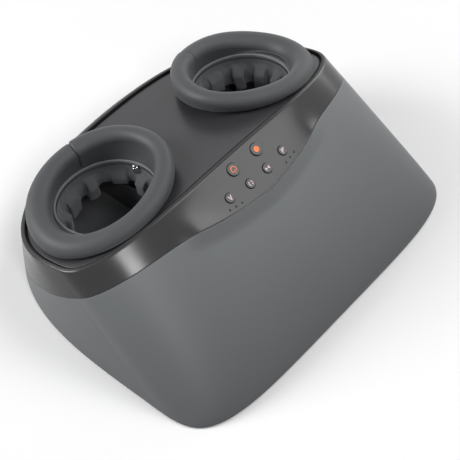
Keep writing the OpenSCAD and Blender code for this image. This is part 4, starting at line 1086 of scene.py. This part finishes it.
def zip_track(name, side):
    """The zip's tape and its interlocked coil."""
    a = np.arange(HEM_AROUND) * 2 * pi / HEM_AROUND
    inner, half = ZIP_R - TAPE_T, ZIP_H / 2
    section = [(ZIP_R, half), (inner, half), (inner, -half), (ZIP_R, -half)]
    tape = np.stack([collar_circle(a, r, w - ZIP_DEPTH, side) for r, w in section], 1)
    parts = [(tape.reshape(-1, 3), grid_faces(HEM_AROUND, 4))]
    tooth = ((-0.9, -0.5), (-0.5, -0.62), (0, -0.62), (0, 0.62), (-0.5, 0.62), (-0.9, 0.5))
    for k in range(ZIP_TEETH):
        turn = 2 * pi * k / ZIP_TEETH
        up = 0.35 if k % 2 else -0.35
        points, faces = prism(tooth, up - 0.75 - ZIP_DEPTH, up + 0.75 - ZIP_DEPTH)
        p = np.array(points) + [inner, 0, 0]
        x = p[:, 0] * cos(turn) - p[:, 1] * sin(turn)
        y = p[:, 0] * sin(turn) + p[:, 1] * cos(turn)
        parts.append((collar_point(x, y, p[:, 2], side), faces))
    track = add_mesh(f"zip_coil_{name}", *joined(parts), sharp=25)
    dress(track, "housing", "zip_coil", f"zip_track_{name}")


# Inside the foot chambers

SWELL = 0.45
SWELL_L = 9
WHEELS_HALF_W = 48
BINDING_SHARE = 0.87
BINDING_DIP = 0.5
BAG_STEPS = 40
BAG_SIDE_GAP = 0.5
BAG_END_GAP = 2
BAG_ROOF_GAP = 0.6
BAG_FULL = 1.4 * BAG_T
BAG_PUCKER = 0.35
WELD_T = 0.8
WELD_SHARE = 0.07


def chamber_edge(inset, steps=16):
    """The outline of a foot chamber in plan, with one point list from corner to corner."""
    r = CHAMBER_R - inset
    half = CHAMBER_W / 2 - CHAMBER_R
    heel, toe = HEEL_Y - CHAMBER_R, TOE_Y + CHAMBER_R
    outline = []
    for start, out, y in ((0, half, heel), (90, -half, heel), (180, -half, toe), (270, half, toe)):
        angles = np.radians(start + np.linspace(0, 90, steps))
        outline += [(CHAMBER_X + out + r * cos(a), y + r * sin(a)) for a in angles]
    return np.array(outline)


def wheel_swell(x, y):
    """How far the sole pad stands up over the wheels under it."""
    out = x - CHAMBER_X
    across = SWELL * (1 + np.cos(2 * pi * out / WHEEL_PITCH)) * (np.abs(out) < WHEELS_HALF_W)
    return across * sum(np.exp(-(((y - shaft_y) / SWELL_L) ** 2)) for shaft_y in SHAFT_YS)


def sole_pad(name, side):
    """The padded sole liner, which swells a little over the wheels and is bound round its edge."""
    low, high = SOLE_Z + 0.4, SOLE_Z + SOLE_T
    middle = np.array([CHAMBER_X, (TOE_Y + HEEL_Y) / 2])
    edge = chamber_edge(TRAY_WALL + 0.5)

    def row(share, z):
        xy = middle + (edge - middle) * share
        return np.column_stack([xy, np.full(len(xy), float(z))])

    top = []
    for share in np.linspace(0.04, 0.93, 26):
        p = row(share, high - 0.9)
        p[:, 2] += wheel_swell(p[:, 0], p[:, 1])
        p[:, 2] -= BINDING_DIP * np.exp(-(((share - BINDING_SHARE) / 0.02) ** 2))
        top.append(p)
    edge_rows = [row(0.975, high - 0.7), row(0.995, high - 1.6), row(1, high - 2.6)]
    under = [row(share, low) for share in (0.995, 0.9, 0.04)]
    sections = [*top, *edge_rows, *under]
    pad = capped_mesh(f"sole_pad_{name}", sections, sharp=70, mirrored=side < 0)
    dress(pad, "housing", "liner_cloth", f"sole_liner_{name}")


def closed_sheet(rows, cols):
    """Faces of two like grids of points, one after the other, joined round their edge."""
    front = grid_faces(rows, cols, False, False)
    back = [tuple(rows * cols + i for i in face)[::-1] for face in front]
    rim = [j * cols for j in range(rows)] + [(rows - 1) * cols + i for i in range(1, cols)]
    rim += [j * cols + cols - 1 for j in range(rows - 2, -1, -1)] + [i for i in range(cols - 2, 0, -1)]
    wall = [(a, b, rows * cols + b, rows * cols + a) for a, b in zip(rim, rim[1:] + rim[:1])]
    return [*front, *back, *wall]


def bag_skins():
    """Points of an air bag: its skin flat on the vault's roof, then the slack one under it."""
    slope = (VAULT_END_Z - VAULT_TOE_Z) / (VAULT_END_Y - TOE_Y)
    start, end = TOE_Y + BAG_TOE, VAULT_END_Y - BAG_END_GAP
    fall = np.hypot(1, slope)
    half = CHAMBER_W / 2 - TRAY_WALL - BAG_SIDE_GAP
    across = np.linspace(-1, 1, BAG_STEPS)[:, None]
    along = np.linspace(0, 1, BAG_STEPS)[None, :]
    edge = np.minimum(1 - np.abs(across), np.minimum(along, 1 - along) * 2)
    full = ease((edge - WELD_SHARE) / 0.5)
    pucker = BAG_PUCKER * np.sin(14 * across + 3 * along) * np.sin(11 * along + 2) * full
    y = start + (end - start) * along + 0 * across
    x = CHAMBER_X + half * across + 0 * along
    roof = VAULT_END_Z + (y - VAULT_END_Y) * slope - (TRAY_WALL + BAG_ROOF_GAP) * fall
    slack = roof - WELD_T - full * (BAG_FULL - WELD_T) * fall + pucker
    return np.concatenate([np.stack([x, y, z], -1).reshape(-1, 3) for z in (roof, slack)])


def bag_nipple():
    """The bag's hose nipple, which reaches out through the tray's inner wall."""
    length = TRAY_WALL + 8
    points, faces = lathe([(0, 0), (NIPPLE_R, 0), (NIPPLE_R, length), (0, length)], 32)
    start = CHAMBER_X - CHAMBER_W / 2 - 4
    return [(start + z, HOSE_Y + px, HOSE_Z + py) for px, py, z in points], faces


def instep_bag(name, side):
    """A slack air bag under the vault's roof, with a flat welded edge and its hose nipple."""
    parts = joined([(bag_skins(), closed_sheet(BAG_STEPS, BAG_STEPS)), bag_nipple()])
    bag = add_mesh(f"air_bag_{name}", *parts, sharp=50, mirrored=side < 0)
    dress(bag, "housing", "bag_rubber", f"instep_bag_{name}")


# CAD nodes that stay get their finish


def finish_cad_nodes():
    slots = {part["node"]: part["material_slot"] for part in frame["record"]["subparts"]}
    for name, node in frame["nodes"].items():
        if node.hide_render:
            continue
        node.data.materials.clear()
        node.data.materials.append(finish(slots[name]))


# Camera, light and floor

# A lamp's place and side in metres, and its watts
LAMPS = {
    "key": ((1.2, -1.15, 1.75), 1.3, 15),
    "streak": ((-0.86, -1.32, 1.8), 0.35, 8),
    "left": ((-1.6, 1.6, 1.2), 1.2, 56),
    "right": ((2.2, 0.2, 0.9), 1.2, 12),
    "near": ((0.15, -0.25, 1.0), 0.4, 2),
}
LAMPS_AIM = Vector((0, 0, 0.1))
WORLD_LIGHT = 0.2
FLOOR_HALF = 3000
FLOOR_FADE_START = 240
FLOOR_FADE_END = 560


def add_camera():
    """The photograph's camera, its lens worked out from a focal length in pixels."""
    back = Vector((
        sin(VIEW_AZIMUTH) * cos(VIEW_ELEVATION),
        -cos(VIEW_AZIMUTH) * cos(VIEW_ELEVATION),
        sin(VIEW_ELEVATION),
    ))
    data = bpy.data.cameras.new("camera")
    data.lens = data.sensor_width * FOCAL_PIXELS / PHOTO_PIXELS
    data.clip_end = 50
    camera = bpy.data.objects.new("camera", data)
    camera.location = (VIEW_TARGET + back * VIEW_DISTANCE) * METRE
    camera.rotation_euler = back.to_track_quat("Z", "Y").to_euler()
    bpy.context.scene.collection.objects.link(camera)
    bpy.context.scene.camera = camera


def area_lamp(name, place, size, watts):
    """A soft square lamp, turned to the object."""
    data = bpy.data.lights.new(name, "AREA")
    data.energy = watts
    data.size = size
    lamp = bpy.data.objects.new(name, data)
    lamp.location = place
    lamp.rotation_euler = (Vector(place) - LAMPS_AIM).to_track_quat("Z", "Y").to_euler()
    bpy.context.scene.collection.objects.link(lamp)


def white_where_seen(tree, surface, light, output):
    """White to the camera, to gloss and through glass, and another surface for all other light."""
    path = tree.nodes.new("ShaderNodeLightPath")
    seen = path.outputs["Is Camera Ray"]
    for ray in ("Is Glossy Ray", "Is Transmission Ray"):
        either = tree.nodes.new("ShaderNodeMath")
        either.operation = "MAXIMUM"
        tree.links.new(seen, either.inputs[0])
        tree.links.new(path.outputs[ray], either.inputs[1])
        seen = either.outputs[0]
    mix = tree.nodes.new("ShaderNodeMixShader")
    tree.links.new(seen, mix.inputs[0])
    tree.links.new(surface, mix.inputs[1])
    tree.links.new(light, mix.inputs[2])
    tree.links.new(mix.outputs[0], output)


def add_world(strength):
    world = bpy.data.worlds.new("studio")
    world.use_nodes = True
    bpy.context.scene.world = world
    tree = world.node_tree
    even = tree.nodes["Background"]
    even.inputs["Color"].default_value = (1, 1, 1, 1)
    even.inputs["Strength"].default_value = strength
    white = tree.nodes.new("ShaderNodeBackground")
    white.inputs["Color"].default_value = (1, 1, 1, 1)
    output = tree.nodes["World Output"].inputs["Surface"]
    white_where_seen(tree, even.outputs[0], white.outputs[0], output)


def floor_finish():
    """White that keeps the object's shadow and fades to plain white; dull to all other light."""
    m = Nodes("floor")
    m.tree.nodes.remove(m.shader)
    dull = m.add("ShaderNodeBsdfDiffuse", Color=(0.3, 0.3, 0.3, 1))
    white = m.add("ShaderNodeBsdfDiffuse", Color=(0.95, 0.95, 0.95, 1))
    plain = m.add("ShaderNodeEmission")
    away = m.add("ShaderNodeVectorMath", Vector=m.place)
    away.operation = "LENGTH"
    near, far = FLOOR_FADE_START * METRE, FLOOR_FADE_END * METRE
    share = m.add("ShaderNodeMapRange", Value=away.outputs["Value"], From_Min=near, From_Max=far)
    share.interpolation_type = "SMOOTHSTEP"
    faded = m.tree.nodes.new("ShaderNodeMixShader")
    m.tree.links.new(share.outputs[0], faded.inputs[0])
    m.tree.links.new(white.outputs[0], faded.inputs[1])
    m.tree.links.new(plain.outputs[0], faded.inputs[2])
    output = m.tree.nodes["Material Output"].inputs["Surface"]
    white_where_seen(m.tree, dull.outputs[0], faded.outputs[0], output)
    return m.material


def add_floor():
    corners = [(FLOOR_HALF * x, FLOOR_HALF * y, 0) for x, y in ((-1, -1), (1, -1), (1, 1), (-1, 1))]
    floor = add_mesh("floor", corners, [(0, 1, 2, 3)])
    floor.data.materials.append(floor_finish())


def add_studio():
    add_camera()
    add_world(WORLD_LIGHT)
    for name, (place, size, watts) in LAMPS.items():
        area_lamp(name, place, size, watts)
    add_floor()
    bpy.context.scene.view_settings.view_transform = "Standard"


add_studio()
lower_housing()
upper_cover()
groove_seal()
deck_plate()
keys(printed("sign_orange", (1.0, 0.205, 0.032)), printed("sign_pale", (0.78, 0.62, 0.64)))
indicators()
for side_name, side_sign in SIDES.items():
    ring_cushion(side_name, side_sign)
    liner(side_name, side_sign)
    zip_track(side_name, side_sign)
    sole_pad(side_name, side_sign)
    instep_bag(side_name, side_sign)
finish_cad_nodes()
